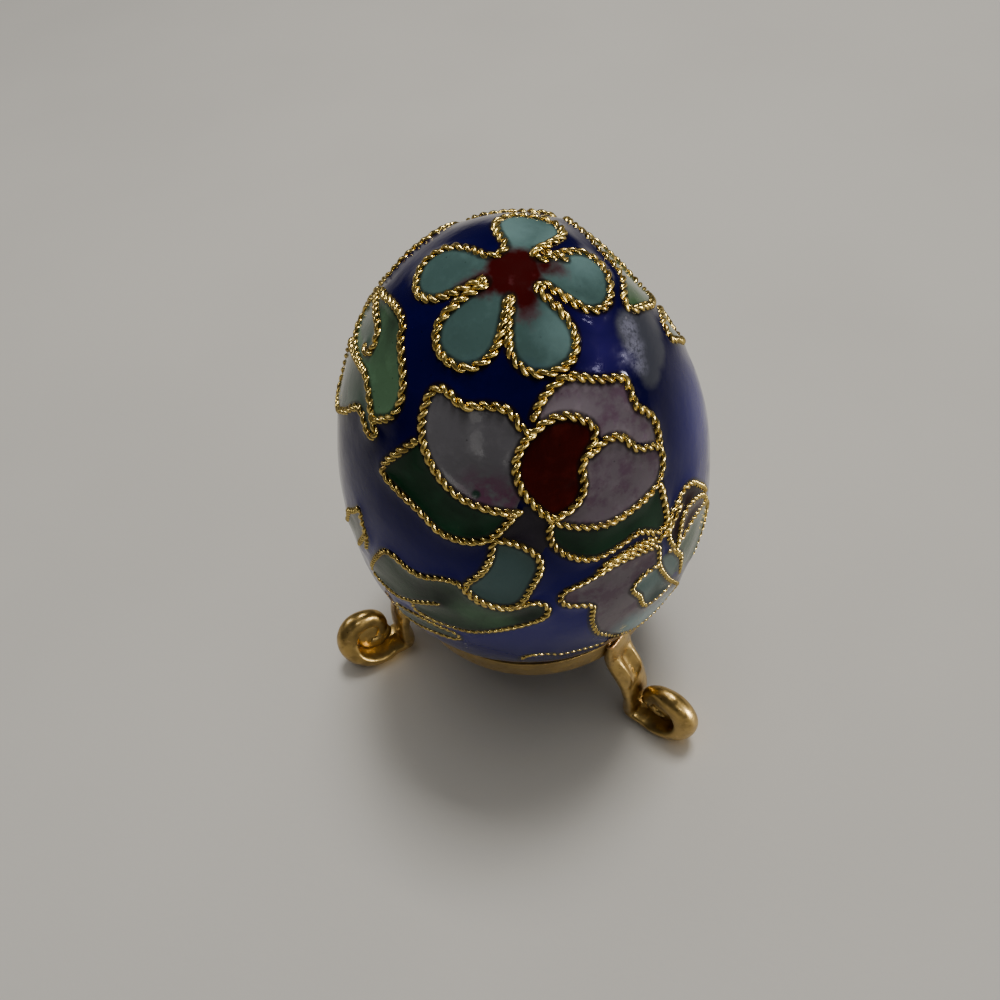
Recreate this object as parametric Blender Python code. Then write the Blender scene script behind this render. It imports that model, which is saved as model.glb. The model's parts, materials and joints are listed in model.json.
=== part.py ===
"""Cloisonne egg resting in its three-legged brass stand.

The egg is one closed body whose soldered wires stand out as low ridges in a
pattern of flowers and scrolling leaves. The stand is a turned ring with three
cast legs, each ending in a scroll foot. Lengths are in metres unless a name
ends in MM; +Z is up and the feet stand on z = 0.
"""

import math

import bmesh
import bpy
from mathutils import Vector, kdtree
from mathutils.geometry import delaunay_2d_cdt

MM = 0.001
GAP = 0.3 * MM

# Egg
EGG_RADIUS = 12.5 * MM
EGG_CROWN = 20.35 * MM
EGG_BASE = 12.4 * MM
EGG_WAIST_Z = 20.0 * MM

# Flattened place high on the egg's right
FLAT_TOWARD = Vector((0.79, 0.24, 0.56))
FLAT_DEPTH = 0.65 * MM
FLAT_SPREAD = math.radians(32.0)

# Wire ridges on the egg
WIRE_WIDTH = 0.6 * MM
WIRE_PROUD = 0.25 * MM
WIRE_STEP = 0.85 * MM
FIELD_SPACING = 2.1 * MM
FIELD_CLEARANCE = 1.0 * MM
WELD = 0.22 * MM
POLE_RADIUS = 0.7 * MM

# Petals of a flower, as shares of their reach and half width, and the notch between two
SHOULDER_SHARE = 0.73
PETAL_BOW = 0.28
NOTCH_SIDE_BOW = 0.12
NOTCH_BOW = -0.28

# Stand ring
RING_OUTER = 10.5 * MM
RING_INNER = 9.75 * MM
RING_TOP = 12.25 * MM
RING_BOTTOM = 10.2 * MM
RING_EASE = 0.2 * MM
RING_SEAT_DROP = 0.5 * MM
RING_SEAT_WIDTH = 0.4 * MM
RING_SEGMENTS = 48

# Legs, as (name, bearing, swing, reach of the scroll, lean of the scroll)
LEGS = (
    ("leg_front_right", 29.5, 16.0, 4.15 * MM, -0.15 * MM),
    ("leg_back", 150.0, 18.0, 4.25 * MM, -0.4 * MM),
    ("leg_left", -87.0, 20.0, 4.45 * MM, -0.8 * MM),
)
KNEE_HEIGHT = 7.6 * MM
KNEE_LENGTH = 2.6 * MM
GROOVE_DEPTH = 0.28 * MM
LEAN_OUT = 2.2 * MM
LEAN_RUN = 1.2 * MM
LEAN_LOW = 0.4 * MM
LEAN_RISE = 4.3 * MM

# Scroll foot
SCROLL_HEIGHT = 3.0 * MM
SCROLL_RADIUS = 2.05 * MM
SCROLL_WIDTH = 2.85 * MM
SCROLL_SWELL = 0.1 * MM
SCROLL_THICKNESS = 0.9 * MM
SCROLL_CROWN = 0.75 * MM
EYE_RADIUS = 0.5 * MM
EYE_WIDTH = 1.5 * MM
EYE_THINNING = 0.13 * MM
EYE_CROWN = 0.1 * MM
SCROLL_START = 250.0
SCROLL_OPEN = 405.0
SCROLL_CLOSED = 570.0
SCROLL_END = 690.0
SCROLL_STEP = 15.0

# Colours, linear, as (red, green, blue)
ENAMEL_BLUE = (0.012, 0.010, 0.115)
STAND_BRASS = (0.55, 0.36, 0.11)
LEG_BRASS = (0.60, 0.40, 0.13)


# Egg surface

def egg_depth(z):
    """Semi-axis of the half of the egg that height z lies in."""
    return EGG_CROWN if z >= EGG_WAIST_Z else EGG_BASE


def egg_profile(steps=4000):
    """Rows of arc length from the apex, radius, height and log map radius."""
    rows = []
    arc = 0.0
    log_rho = math.log(0.5 * math.pi / steps)
    last = None
    for i in range(steps + 1):
        turn = math.pi * i / steps
        depth = EGG_CROWN if turn < 0.5 * math.pi else EGG_BASE
        radius = EGG_RADIUS * math.sin(turn)
        height = EGG_WAIST_Z + depth * math.cos(turn)
        if last:
            step = math.hypot(radius - last[0], height - last[1])
            arc += step
            if 1 < i < steps:
                log_rho += 2.0 * step / (radius + last[0])
        rows.append((arc, radius, height, log_rho))
        last = (radius, height)
    return rows


PROFILE = egg_profile()
EGG_ARC = PROFILE[-1][0]


def look_up(column, value, wanted):
    """Read the profile row where column holds value, by linear steps."""
    sign = -1.0 if column == 2 else 1.0
    low = 0
    high = len(PROFILE) - 1
    while high - low > 1:
        middle = (low + high) // 2
        if sign * PROFILE[middle][column] <= sign * value:
            low = middle
        else:
            high = middle
    first = PROFILE[low]
    second = PROFILE[high]
    span = second[column] - first[column]
    share = (value - first[column]) / span if span else 0.0
    share = min(1.0, max(0.0, share))
    return first[wanted] + share * (second[wanted] - first[wanted])


def egg_point(bearing, arc):
    """Point on the egg, bearing in degrees from the front towards the right."""
    radius = look_up(0, arc, 1)
    turn = math.radians(bearing)
    return Vector((radius * math.sin(turn), -radius * math.cos(turn), look_up(0, arc, 2)))


def egg_normal(point):
    """Unit normal of the egg's surface."""
    depth = egg_depth(point.z)
    up = (point.z - EGG_WAIST_Z) / depth ** 2
    return Vector((point.x / EGG_RADIUS ** 2, point.y / EGG_RADIUS ** 2, up)).normalized()


def egg_flat(normal):
    """How far the egg is pressed in where it faces this way."""
    turn = min(FLAT_SPREAD, normal.angle(FLAT_TOWARD))
    return 0.5 * FLAT_DEPTH * (1.0 + math.cos(math.pi * turn / FLAT_SPREAD))


def drop_on_egg(point, normal):
    """Move a point along a normal onto the side of the egg it faces."""
    for depth in (EGG_CROWN, EGG_BASE):
        scale = Vector((1.0 / EGG_RADIUS, 1.0 / EGG_RADIUS, 1.0 / depth))
        start = (point - Vector((0.0, 0.0, EGG_WAIST_Z))) * scale
        way = normal * scale
        half = start.dot(way)
        root = half * half - way.dot(way) * (start.dot(start) - 1.0)
        if root >= 0.0:
            hit = point + normal * ((math.sqrt(root) - half) / way.dot(way))
            if egg_depth(hit.z) == depth:
                return hit
    raise ValueError("the pattern runs past the egg's outline")


def to_map(point):
    """Flatten a point of the egg without changing angles."""
    rho = math.exp(look_up(2, point.z, 3))
    turn = math.atan2(point.x, -point.y)
    return Vector((rho * math.sin(turn), -rho * math.cos(turn)))


def from_map(flat):
    """Point of the egg that a flattened point stands for."""
    log_rho = math.log(flat.length)
    radius = look_up(3, log_rho, 1)
    turn = math.atan2(flat.x, -flat.y)
    return Vector((radius * math.sin(turn), -radius * math.cos(turn), look_up(3, log_rho, 2)))


# Wire outlines, in millimetres in the frame of one motif: x to the right and
# y towards the apex. The third number of a corner is how far the wire to the
# next corner bows out, to the left of the way it runs.

def flower(petals, notch, notch_half):
    """One closed wire round petals given as direction, reach and half width."""
    corners = []
    for direction, reach, half in petals:
        turn = math.radians(direction)
        along = Vector((math.cos(turn), math.sin(turn)))
        across = Vector((-math.sin(turn), math.cos(turn)))
        shoulder = SHOULDER_SHARE * reach
        for out, side, bow in (
            (notch, notch_half, NOTCH_SIDE_BOW),
            (shoulder, half, PETAL_BOW * half),
            (reach, 0.0, PETAL_BOW * half),
            (shoulder, -half, NOTCH_SIDE_BOW),
            (notch, -notch_half, NOTCH_BOW),
        ):
            place = along * out + across * side
            corners.append((place.x, place.y, bow))
    return corners


def top_flower():
    """Five broad petals round the apex."""
    petals = [(58.5, 4.5, 1.75), (-16, 4.75, 1.75), (-86, 5.0, 1.65), (-145, 5.05, 1.6), (151, 4.9, 1.6)]
    return [(True, flower(petals, 1.5, 0.7))]


def base_flower():
    """Five small petals under the egg, inside the ring."""
    petals = [(90 - 72 * i, 4.2, 1.25) for i in range(5)]
    return [(True, flower(petals, 1.3, 0.5))]


def peony():
    """Large open flower with a drop in its middle and two long leaves."""
    left_leaf = [(-1.8, -1.9, 0), (-3.1, -3.25, 0.45), (-6.0, -2.8, -0.1), (-7.9, -0.3, 0.3),
                 (-7.95, 0.85, 0.03), (-6.1, 2.2, 0)]
    right_leaf = [(6.15, -2.8, 0), (6.6, -5.3, 0.23), (5.8, -5.95, -0.06), (4.6, -5.15, 0.08),
                  (2.2, -5.9, 0.38), (-0.2, -4.2, 0.15), (-0.1, -2.75, 0)]
    left_petal = [(-1.75, -1.85, 0.15), (-4.1, -1.0, 0.1), (-5.15, 0.2, 0.7), (-4.8, 4.65, 0.2),
                  (-3.95, 4.65, -0.05), (-3.3, 3.9, 0.1), (-1.6, 3.7, 0.15), (-1.05, 2.9, -0.05),
                  (-0.5, 2.25, 0)]
    upper_petal = [(-0.2, 3.0, 0.12), (0.9, 4.2, 0.22), (2.4, 4.3, -0.1), (4.4, 3.75, 0.15),
                   (4.8, 3.0, 0), (5.05, 2.0, 0.1), (6.05, 0.95, 0.05), (6.25, -0.5, 0)]
    lower_petal = [(2.35, 0.5, 0), (3.1, 1.0, 0.1), (4.1, 0.85, 0), (4.8, -0.1, 0), (6.0, -0.4, 0.08),
                   (6.35, -0.95, 0.15), (6.0, -2.6, 0.25), (2.7, -3.8, 0.18), (-0.1, -2.7, 0)]
    drop = [(-0.1, -2.6, 0.05), (-1.3, -0.8, 0.5), (-0.6, 2.1, 0.8), (2.7, 1.85, 0.14), (2.3, 0.8, -0.05),
            (1.75, 0.0, 0), (1.8, -1.15, 0.23), (0.6, -2.4, 0)]
    return [(False, left_leaf), (False, right_leaf), (False, left_petal), (False, upper_petal),
            (False, lower_petal), (True, drop)]


def spray():
    """Bud over a stepped petal that holds a second bud."""
    bud = [(-4.1, 5.9, 0.1), (-2.8, 5.5, 0.55), (-2.2, 3.1, 0), (-3.1, 1.3, 0.2), (-4.3, 0.6, 0.25),
           (-6.0, 1.8, 0.15), (-5.8, 2.7, -0.33)]
    petal = [(2.3, -6.0, -0.05), (1.0, -4.2, 0.25), (0.75, -0.7, -0.1), (-0.6, 0.0, 0.4), (-0.9, 1.5, 0),
             (1.4, 2.2, 0.1), (3.3, 2.3, 0.1), (5.1, 1.7, 0), (5.15, 0.0, -0.15), (6.7, -3.9, 0),
             (7.6, -6.0, 0)]
    small_bud = [(6.4, -3.7, 0.25), (4.3, -3.4, 0.1), (3.4, -1.4, 0), (2.7, -0.7, 0.3), (3.6, 0.4, 0.05),
                 (5.1, 0.5, 0)]
    lens = [(-3.8, -6.3, 0.3), (-2.9, -5.5, 0.2), (-1.6, -6.0, 0.1), (1.5, -6.3, 0)]
    hem = [(2.3, -6.0, 0), (4.0, -7.2, 0), (7.0, -7.3, 0)]
    return [(True, bud), (False, petal), (False, small_bud), (False, lens), (False, hem)]


def scroll_leaf():
    """Long wavy leaf with a narrow loop under it and a pointed leaf beside it."""
    wave = [(-1.4, -3.4, -0.05), (-2.4, -3.95, 0), (-4.5, -4.1, 0.4), (-4.9, -3.0, 0.1), (-3.2, 0.15, 0.3),
            (-1.7, 0.3, -0.2), (0.1, 0.2, 0.18), (2.2, 0.65, -0.42), (4.4, -1.1, -0.15), (5.7, -0.4, 0.1),
            (6.5, -0.4, 0.3), (6.5, -2.0, 0.12), (2.4, -4.35, 0.08), (-1.4, -4.4, 0), (-1.4, -3.4, 0.05),
            (0.7, -2.1, 0)]
    loop = [(-3.2, -5.6, 0.1), (-1.0, -5.0, 0.05), (1.5, -5.2, 0.25), (1.35, -6.1, 0.05), (-3.0, -6.9, 0.2)]
    tip = [(-6.3, -2.4, 0), (-4.75, 0.3, 0.1), (-5.1, 2.1, 0.05), (-7.0, 0.1, 0.2), (-8.4, -2.6, 0)]
    return [(False, wave), (True, loop), (False, tip)]


def side_flower():
    """Round-petalled flower on the left side."""
    lower = [(1.6, -1.5, 0), (2.25, -1.9, 0.3), (1.1, -2.2, -0.1), (0.1, -1.8, -0.1), (-1.2, -3.2, 0),
             (-3.0, -4.6, 0.2), (-5.5, -4.6, 0.5), (-5.2, -1.2, 0.1), (-0.5, 0.0, 0)]
    upper = [(1.6, -1.55, -0.2), (-0.5, 0.0, 0.05), (-3.0, -0.2, 0.1), (-5.0, 0.2, 0.4), (-5.0, 2.0, 0.3),
             (-3.0, 3.2, 0.15), (-0.4, 3.8, 0.2), (0.55, 3.1, 0.05), (2.0, 2.0, 0.35), (2.7, -0.2, 0.1),
             (1.7, -1.2, 0)]
    hook = [(-4.4, 2.5, 0), (-1.6, 2.3, 0.2), (-0.9, 1.2, 0.2), (-1.8, 0.7, 0)]
    return [(False, lower), (True, upper), (False, hook)]


def twin_leaves():
    """Two slanting leaves high on the right side."""
    upper = [(-3.4, 1.0, 0.2), (-3.2, 1.85, 0.05), (-1.6, 1.45, -0.1), (0.3, 2.2, 0.1), (3.4, 2.6, 0.4),
             (5.2, 0.4, 0.4), (3.0, -3.6, 0.3), (0.0, -2.8, 0), (-2.2, -0.8, 0)]
    lower = [(-3.6, -2.4, 0.15), (-3.0, -1.65, 0.1), (-1.2, -2.6, 0), (0.3, -4.4, 0.2), (0.6, -6.5, 0.4),
             (-1.0, -6.0, 0.1), (-2.6, -4.1, 0)]
    return [(True, upper), (True, lower)]


def layered_bud():
    """Three-layered bud low on the right side."""
    cup = [(-1.0, -5.6, 0), (-1.1, -3.0, 0.2), (-1.6, -1.7, 0.1), (0.4, -1.15, 0.05), (2.1, -1.8, 0.3),
           (3.4, -4.2, 0.3), (1.2, -6.4, 0)]
    middle = [(-1.5, -1.6, 0.1), (-0.8, 0.45, 0.15), (0.5, 0.4, 0.1), (2.0, -0.9, 0.15), (2.6, -2.4, 0)]
    outer = [(-1.8, -1.4, 0.1), (-2.2, 0.4, 0.05), (-1.9, 1.6, 0), (-0.4, 2.3, 0.25), (1.2, 1.1, 0.1),
             (2.6, -1.2, 0)]
    stem = [(-2.2, -1.3, 0.05), (-1.6, -2.2, 0.1), (-1.2, -3.4, 0)]
    return [(False, cup), (False, middle), (False, outer), (False, stem)]


def sprig():
    """Small bud between two leaves."""
    bud = [(-1.6, 0.2, 0.5), (0.2, 2.6, 0.3), (1.6, 1.4, 0.2), (0.9, -0.6, 0.3)]
    left_leaf = [(-1.4, -0.6, 0.4), (-4.2, -2.2, 0.3), (-2.6, -2.9, 0)]
    right_leaf = [(0.9, -1.2, -0.2), (3.3, -0.8, 0.2), (4.2, -2.0, 0.5), (1.6, -2.9, 0.2)]
    return [(True, bud), (True, left_leaf), (True, right_leaf)]


# Each motif with the bearing in degrees and the arc from the apex, in
# millimetres, of its middle. The back repeats the front, with its large
# flower a little higher, and a sprig fills each side.
MOTIFS = (
    (top_flower, 10, 1.85),
    (peony, 3, 12.0),
    (spray, 8, 21.5),
    (scroll_leaf, -35, 20.0),
    (side_flower, -71, 10.0),
    (twin_leaves, 98, 8.0),
    (layered_bud, 48, 20.0),
    (peony, -160, 10.4),
    (spray, 188, 21.5),
    (scroll_leaf, 145, 20.0),
    (layered_bud, 228, 20.0),
    (sprig, 94, 28.5),
    (sprig, -97, 28.0),
    (base_flower, 0, EGG_ARC / MM),
)


def bow_points(start, end, bow, step):
    """Points along a shallow bow from start up to, but not including, end."""
    chord = Vector(end) - Vector(start)
    length = chord.length
    left = Vector((-chord.y, chord.x)) / length
    count = max(1, round(length * (1.0 + 2.7 * (bow / length) ** 2) / step))
    for i in range(count):
        share = i / count
        yield Vector(start) + chord * share + left * (4.0 * bow * share * (1.0 - share))


def wire_points(corners, closed, step):
    """Points along a whole wire outline."""
    points = []
    last = len(corners) if closed else len(corners) - 1
    for i in range(last):
        x, y, bow = corners[i]
        following = corners[(i + 1) % len(corners)]
        points.extend(bow_points((x, y), following[:2], bow, step))
    if not closed:
        points.append(Vector(corners[-1][:2]))
    return points


def pattern_wires():
    """Centre lines of all wires as lists of points on the egg."""
    wires = []
    for motif, bearing, arc in MOTIFS:
        middle = egg_point(bearing, arc * MM)
        normal = egg_normal(middle)
        turn = math.radians(bearing)
        right = Vector((math.cos(turn), math.sin(turn), 0.0))
        upward = normal.cross(right)
        for closed, corners in motif():
            line = []
            for flat in wire_points(corners, closed, WIRE_STEP / MM):
                point = middle + right * (flat.x * MM) + upward * (flat.y * MM)
                line.append(drop_on_egg(point, normal))
            wires.append((closed, line))
    return wires


# Meshes

def tree_of(points):
    """Search tree over a list of points."""
    tree = kdtree.KDTree(len(points))
    for i, point in enumerate(points):
        tree.insert(point, i)
    tree.balance()
    return tree


def fine_line(line, closed):
    """Closely spaced points along a wire's centre line."""
    ends = line[1:] + line[:1] if closed else line[1:]
    points = []
    for start, end in zip(line, ends):
        count = max(1, round((end - start).length / (0.1 * WIRE_WIDTH)))
        points.extend(start.lerp(end, i / count) for i in range(count))
    points.append(ends[-1])
    return points


def welded(point, kept, reach):
    """Index of a kept point within reach of this one, or None."""
    for i, other in enumerate(kept):
        if (other - point).length < reach:
            return i
    return None


def ridge_spine(wires):
    """Shared points of all centre lines, and the edges that join them."""
    points = []
    edges = set()
    for closed, line in wires:
        chain = []
        for point in line:
            index = welded(point, points, WELD)
            if index is None:
                index = len(points)
                points.append(point)
            if not chain or chain[-1] != index:
                chain.append(index)
        if closed:
            chain.append(chain[0])
        for first, second in zip(chain, chain[1:]):
            if first != second:
                edges.add((min(first, second), max(first, second)))
    return points, sorted(edges)


def ridge_banks(wires, centre_tree):
    """Points on both feet of every ridge, left out where ridges run together."""
    half = 0.5 * WIRE_WIDTH
    banks = []
    for closed, line in wires:
        for i, point in enumerate(line):
            before = line[i - 1] if closed or i > 0 else point
            after = line[(i + 1) % len(line)] if closed or i < len(line) - 1 else point
            side = egg_normal(point).cross(after - before).normalized() * half
            for bank in (point + side, point - side):
                clear = centre_tree.find(bank)[2] > 0.9 * half
                if clear and welded(bank, banks, WELD) is None:
                    banks.append(bank)
    return banks


def field_points(wires_tree):
    """Evenly staggered points on the plain enamel between the ridges."""
    points = []
    rows = round(EGG_ARC / FIELD_SPACING)
    for row in range(rows):
        arc = EGG_ARC * row / rows
        count = max(1, round(math.tau * look_up(0, arc, 1) / FIELD_SPACING))
        for i in range(count):
            point = egg_point(360.0 * (i + 0.5 * (row % 2)) / count, arc)
            if wires_tree.find(point)[2] > FIELD_CLEARANCE and EGG_ARC - arc > 2.0 * POLE_RADIUS:
                points.append(point)
    return points


def ridge_height(point, centre_tree):
    """How far the surface stands out, a half round over each centre line."""
    share = centre_tree.find(point)[2] / (0.5 * WIRE_WIDTH)
    return WIRE_PROUD * math.sqrt(max(0.0, 1.0 - share * share))


def egg_mesh():
    """Closed egg with its wires as ridges."""
    wires = pattern_wires()
    centre_tree = tree_of([point for closed, line in wires for point in fine_line(line, closed)])
    spine, edges = ridge_spine(wires)
    banks = ridge_banks(wires, centre_tree)
    rim = [egg_point(36.0 * i, EGG_ARC - POLE_RADIUS) for i in range(10)]
    points = spine + banks + rim
    points += field_points(tree_of(spine + banks))
    flat = [to_map(point) for point in points]
    corners, _, triangles, _, _, _ = delaunay_2d_cdt(flat, edges, [], 0, 1e-7)
    bm = bmesh.new()
    vertices = []
    for corner in corners:
        point = from_map(corner)
        normal = egg_normal(point)
        proud = ridge_height(point, centre_tree) - egg_flat(normal)
        vertices.append(bm.verts.new(point + normal * proud))
    for triangle in triangles:
        bm.faces.new([vertices[i] for i in triangle])
    open_edges = [edge for edge in bm.edges if edge.is_boundary]
    pole = bm.verts.new((0.0, 0.0, EGG_WAIST_Z - EGG_BASE))
    for edge in open_edges:
        bm.faces.new((edge.verts[0], edge.verts[1], pole))
    bmesh.ops.recalc_face_normals(bm, faces=bm.faces)
    return bm


def ring_mesh():
    """Turned ring with a bevelled seat that faces the egg."""
    profile = (
        (RING_INNER, RING_BOTTOM + RING_EASE),
        (RING_INNER + RING_EASE, RING_BOTTOM),
        (RING_OUTER - RING_EASE, RING_BOTTOM),
        (RING_OUTER, RING_BOTTOM + RING_EASE),
        (RING_OUTER, RING_TOP - RING_EASE),
        (RING_OUTER - RING_EASE, RING_TOP),
        (RING_INNER + RING_SEAT_WIDTH, RING_TOP),
        (RING_INNER, RING_TOP - RING_SEAT_DROP),
    )
    loops = []
    for i in range(RING_SEGMENTS):
        turn = math.tau * i / RING_SEGMENTS
        loops.append([(r * math.cos(turn), r * math.sin(turn), z) for r, z in profile])
    return lofted(loops, closed=True)


def lofted(loops, closed=False):
    """Skin over matching loops of points, with flat ends unless closed."""
    bm = bmesh.new()
    rows = [[bm.verts.new(point) for point in loop] for loop in loops]
    following = rows[1:] + rows[:1] if closed else rows[1:]
    for row, following_row in zip(rows, following):
        for i in range(len(row)):
            j = (i + 1) % len(row)
            bm.faces.new((row[i], row[j], following_row[j], following_row[i]))
    if not closed:
        bm.faces.new(rows[0])
        bm.faces.new(rows[-1])
    bmesh.ops.recalc_face_normals(bm, faces=bm.faces)
    return bm


# Legs. Each path lies in an upright plane: the first number is the distance out
# from the ring, the second the height, then the leg's width and thickness and
# how far its under face swells.

SHANK_MM = (
    (-0.35, 9.9, 2.9, 1.05, 0.0),
    (0.05, 9.0, 2.9, 1.0, 0.0),
    (0.65, 7.8, 2.9, 1.0, 0.0),
    (1.3, 6.4, 2.85, 1.0, 0.0),
    (1.75, 4.9, 2.85, 0.95, 0.0),
    (2.0, 3.3, 2.85, 0.95, 0.1),
    (2.2, 1.6, 2.85, 0.95, 0.43),
)
SHANK_DIVISIONS = 2
FRONT_SHARES = (-1.0, -0.72, 0.0, 0.72, 1.0)
BACK_SHARES = (1.0, 0.75, 0.4, 0.0, -0.4, -0.75, -1.0)


def scroll_stations(reach):
    """Path, width, thickness and swell of the foot's scroll, from the heel to its eye."""
    stations = []
    steps = round((SCROLL_END - SCROLL_START) / SCROLL_STEP)
    for i in range(steps + 1):
        angle = SCROLL_START + (SCROLL_END - SCROLL_START) * i / steps
        share = clipped((angle - SCROLL_OPEN) / (SCROLL_CLOSED - SCROLL_OPEN))
        ease = share * share * (3.0 - 2.0 * share)
        radius = SCROLL_RADIUS + (EYE_RADIUS - SCROLL_RADIUS) * ease
        turn = math.radians(angle)
        toe = math.sin(0.5 * math.radians(angle - SCROLL_START)) ** 2
        stations.append((
            reach + radius * math.cos(turn),
            SCROLL_HEIGHT + radius * math.sin(turn),
            SCROLL_WIDTH + SCROLL_SWELL * toe + (EYE_WIDTH - SCROLL_WIDTH) * ease,
            SCROLL_THICKNESS - EYE_THINNING * ease,
            SCROLL_CROWN + (EYE_CROWN - SCROLL_CROWN) * ease,
        ))
    return stations


def leg_stations(reach):
    """Whole leg from the ring to the scroll's eye, evenly smoothed."""
    coarse = [tuple(value * MM for value in row) for row in SHANK_MM]
    scroll = scroll_stations(reach)
    guide = coarse[:1] + coarse + scroll[:2]
    stations = []
    for i in range(1, len(guide) - 2):
        for step in range(SHANK_DIVISIONS):
            share = step / SHANK_DIVISIONS
            stations.append(blend_through(guide[i - 1:i + 3], share))
    return stations + scroll


def blend_through(rows, share):
    """Smooth value between the two middle rows of four."""
    first, second, third, fourth = rows
    square = share * share
    cube = square * share
    return tuple(
        0.5 * (2.0 * b + (c - a) * share + (2.0 * a - 5.0 * b + 4.0 * c - d) * square
               + (3.0 * b - a - 3.0 * c + d) * cube)
        for a, b, c, d in zip(first, second, third, fourth)
    )


def clipped(value):
    """Value held between nothing and one."""
    return min(1.0, max(0.0, value))


def leg_section(height, width, thickness, crown):
    """Band with a groove in front and a swelling under face, as (across, out) pairs."""
    half = 0.5 * width
    deep = 0.5 * thickness
    edge = deep * (1.0 - 0.5 * crown / SCROLL_CROWN)
    groove = GROOVE_DEPTH * max(0.0, 1.0 - ((height - KNEE_HEIGHT) / KNEE_LENGTH) ** 2)
    section = []
    for share in FRONT_SHARES:
        depth = edge if abs(share) == 1.0 else deep
        section.append((half * share, depth - groove if share == 0.0 else depth))
    for share in BACK_SHARES:
        depth = edge if abs(share) == 1.0 else deep
        section.append((half * share, -depth - crown * math.sqrt(1.0 - share * share)))
    return section


def leg_mesh(swing, reach, lean):
    """Cast leg with a ribbed knee and a scroll foot, under the front of the ring."""
    turn = math.radians(swing)
    direction = Vector((math.sin(turn), -math.cos(turn)))
    side = Vector((math.cos(turn), math.sin(turn)))
    stations = leg_stations(reach)
    loops = []
    for i, (out, height, width, thickness, crown) in enumerate(stations):
        before = stations[i - 1]
        after = stations[min(len(stations) - 1, i + 1)]
        ahead = Vector((0.0, -1.0))
        if i:
            ahead = Vector((after[0] - before[0], after[1] - before[1])).normalized()
        tilt = lean * clipped((out - LEAN_OUT) / LEAN_RUN) * clipped((height - LEAN_LOW) / LEAN_RISE)
        loop = []
        for across, proud in leg_section(height, width, thickness, crown):
            place = direction * (out - ahead.y * proud) + side * (across + tilt)
            loop.append((place.x, place.y - RING_OUTER, max(0.0, height + ahead.x * proud)))
        loops.append(loop)
    return lofted(loops)


# Objects

def material(name, colour, roughness, metallic):
    """Principled material."""
    made = bpy.data.materials.new(name)
    made.use_nodes = True
    shader = made.node_tree.nodes["Principled BSDF"]
    shader.inputs["Base Color"].default_value = (*colour, 1.0)
    shader.inputs["Roughness"].default_value = roughness
    shader.inputs["Metallic"].default_value = metallic
    return made


def add_object(name, bm, finish, parent):
    """Object from a finished mesh, shaded smooth over its shallow edges."""
    mesh = bpy.data.meshes.new(name)
    bm.to_mesh(mesh)
    bm.free()
    mesh.shade_smooth()
    mesh.set_sharp_from_angle(angle=math.radians(40.0))
    mesh.materials.append(finish)
    made = bpy.data.objects.new(name, mesh)
    made.parent = parent
    bpy.context.collection.objects.link(made)
    return made


def centre_on_origin(parent, parts):
    """Shift the parent so that the whole piece stands centred on the origin."""
    bpy.context.view_layer.update()
    corners = [part.matrix_world @ vertex.co for part in parts for vertex in part.data.vertices]
    for axis in (0, 1):
        values = [corner[axis] for corner in corners]
        parent.location[axis] = -0.5 * (min(values) + max(values))


def main():
    """Build the egg and its stand."""
    for old in list(bpy.data.objects):
        bpy.data.objects.remove(old, do_unlink=True)
    ornament = bpy.data.objects.new("ornament", None)
    bpy.context.collection.objects.link(ornament)
    parts = [
        add_object("egg", egg_mesh(), material("cobalt enamel", ENAMEL_BLUE, 0.12, 0.0), ornament),
        add_object("stand_ring", ring_mesh(), material("ring brass", STAND_BRASS, 0.32, 1.0), ornament),
    ]
    for name, bearing, swing, reach, lean in LEGS:
        finish = material(name + " brass", LEG_BRASS, 0.25, 1.0)
        leg = add_object(name, leg_mesh(swing, reach, lean), finish, ornament)
        leg.rotation_euler.z = math.radians(bearing)
        parts.append(leg)
    centre_on_origin(ornament, parts)


main()
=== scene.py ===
"""Cloisonne egg on a brass stand: enamel, soldered wires, stand and setting.

Lengths are in metres unless a name ends in MM, but the sizes of motifs and
of finishes are in millimetres. A motif is drawn in its own frame: x to the
right and y towards the apex.
"""

import json
import math

import bpy
import numpy as np
from bpy.props import FloatProperty, FloatVectorProperty, IntProperty, PointerProperty
from mathutils import Matrix, Vector, kdtree, noise

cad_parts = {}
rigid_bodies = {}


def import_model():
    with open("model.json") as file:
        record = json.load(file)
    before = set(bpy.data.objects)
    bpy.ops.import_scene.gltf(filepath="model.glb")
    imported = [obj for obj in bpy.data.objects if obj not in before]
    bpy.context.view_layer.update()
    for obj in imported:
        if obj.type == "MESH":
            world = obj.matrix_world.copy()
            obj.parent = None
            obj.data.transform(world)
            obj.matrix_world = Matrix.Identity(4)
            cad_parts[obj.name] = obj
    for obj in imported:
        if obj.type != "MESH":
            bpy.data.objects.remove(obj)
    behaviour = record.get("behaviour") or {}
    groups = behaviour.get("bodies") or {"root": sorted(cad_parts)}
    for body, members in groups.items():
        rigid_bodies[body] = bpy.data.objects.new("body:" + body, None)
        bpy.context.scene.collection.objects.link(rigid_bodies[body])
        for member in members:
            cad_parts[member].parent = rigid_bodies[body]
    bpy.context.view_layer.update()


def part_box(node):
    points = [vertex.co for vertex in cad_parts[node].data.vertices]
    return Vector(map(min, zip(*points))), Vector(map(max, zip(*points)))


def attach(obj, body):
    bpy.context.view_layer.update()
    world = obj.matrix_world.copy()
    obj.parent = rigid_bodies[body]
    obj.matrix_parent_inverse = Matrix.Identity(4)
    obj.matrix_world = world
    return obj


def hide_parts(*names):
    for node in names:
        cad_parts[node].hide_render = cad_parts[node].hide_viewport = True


bl_info = {
    "name": "Cloisonne egg",
    "version": (1, 0, 0),
    "blender": (4, 5, 0),
    "location": "View3D > Sidebar > Egg",
    "description": "Dresses an enamelled egg with soldered wires and its brass stand",
    "category": "Object",
}

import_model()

MM = 0.001
BODY = "root"

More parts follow.
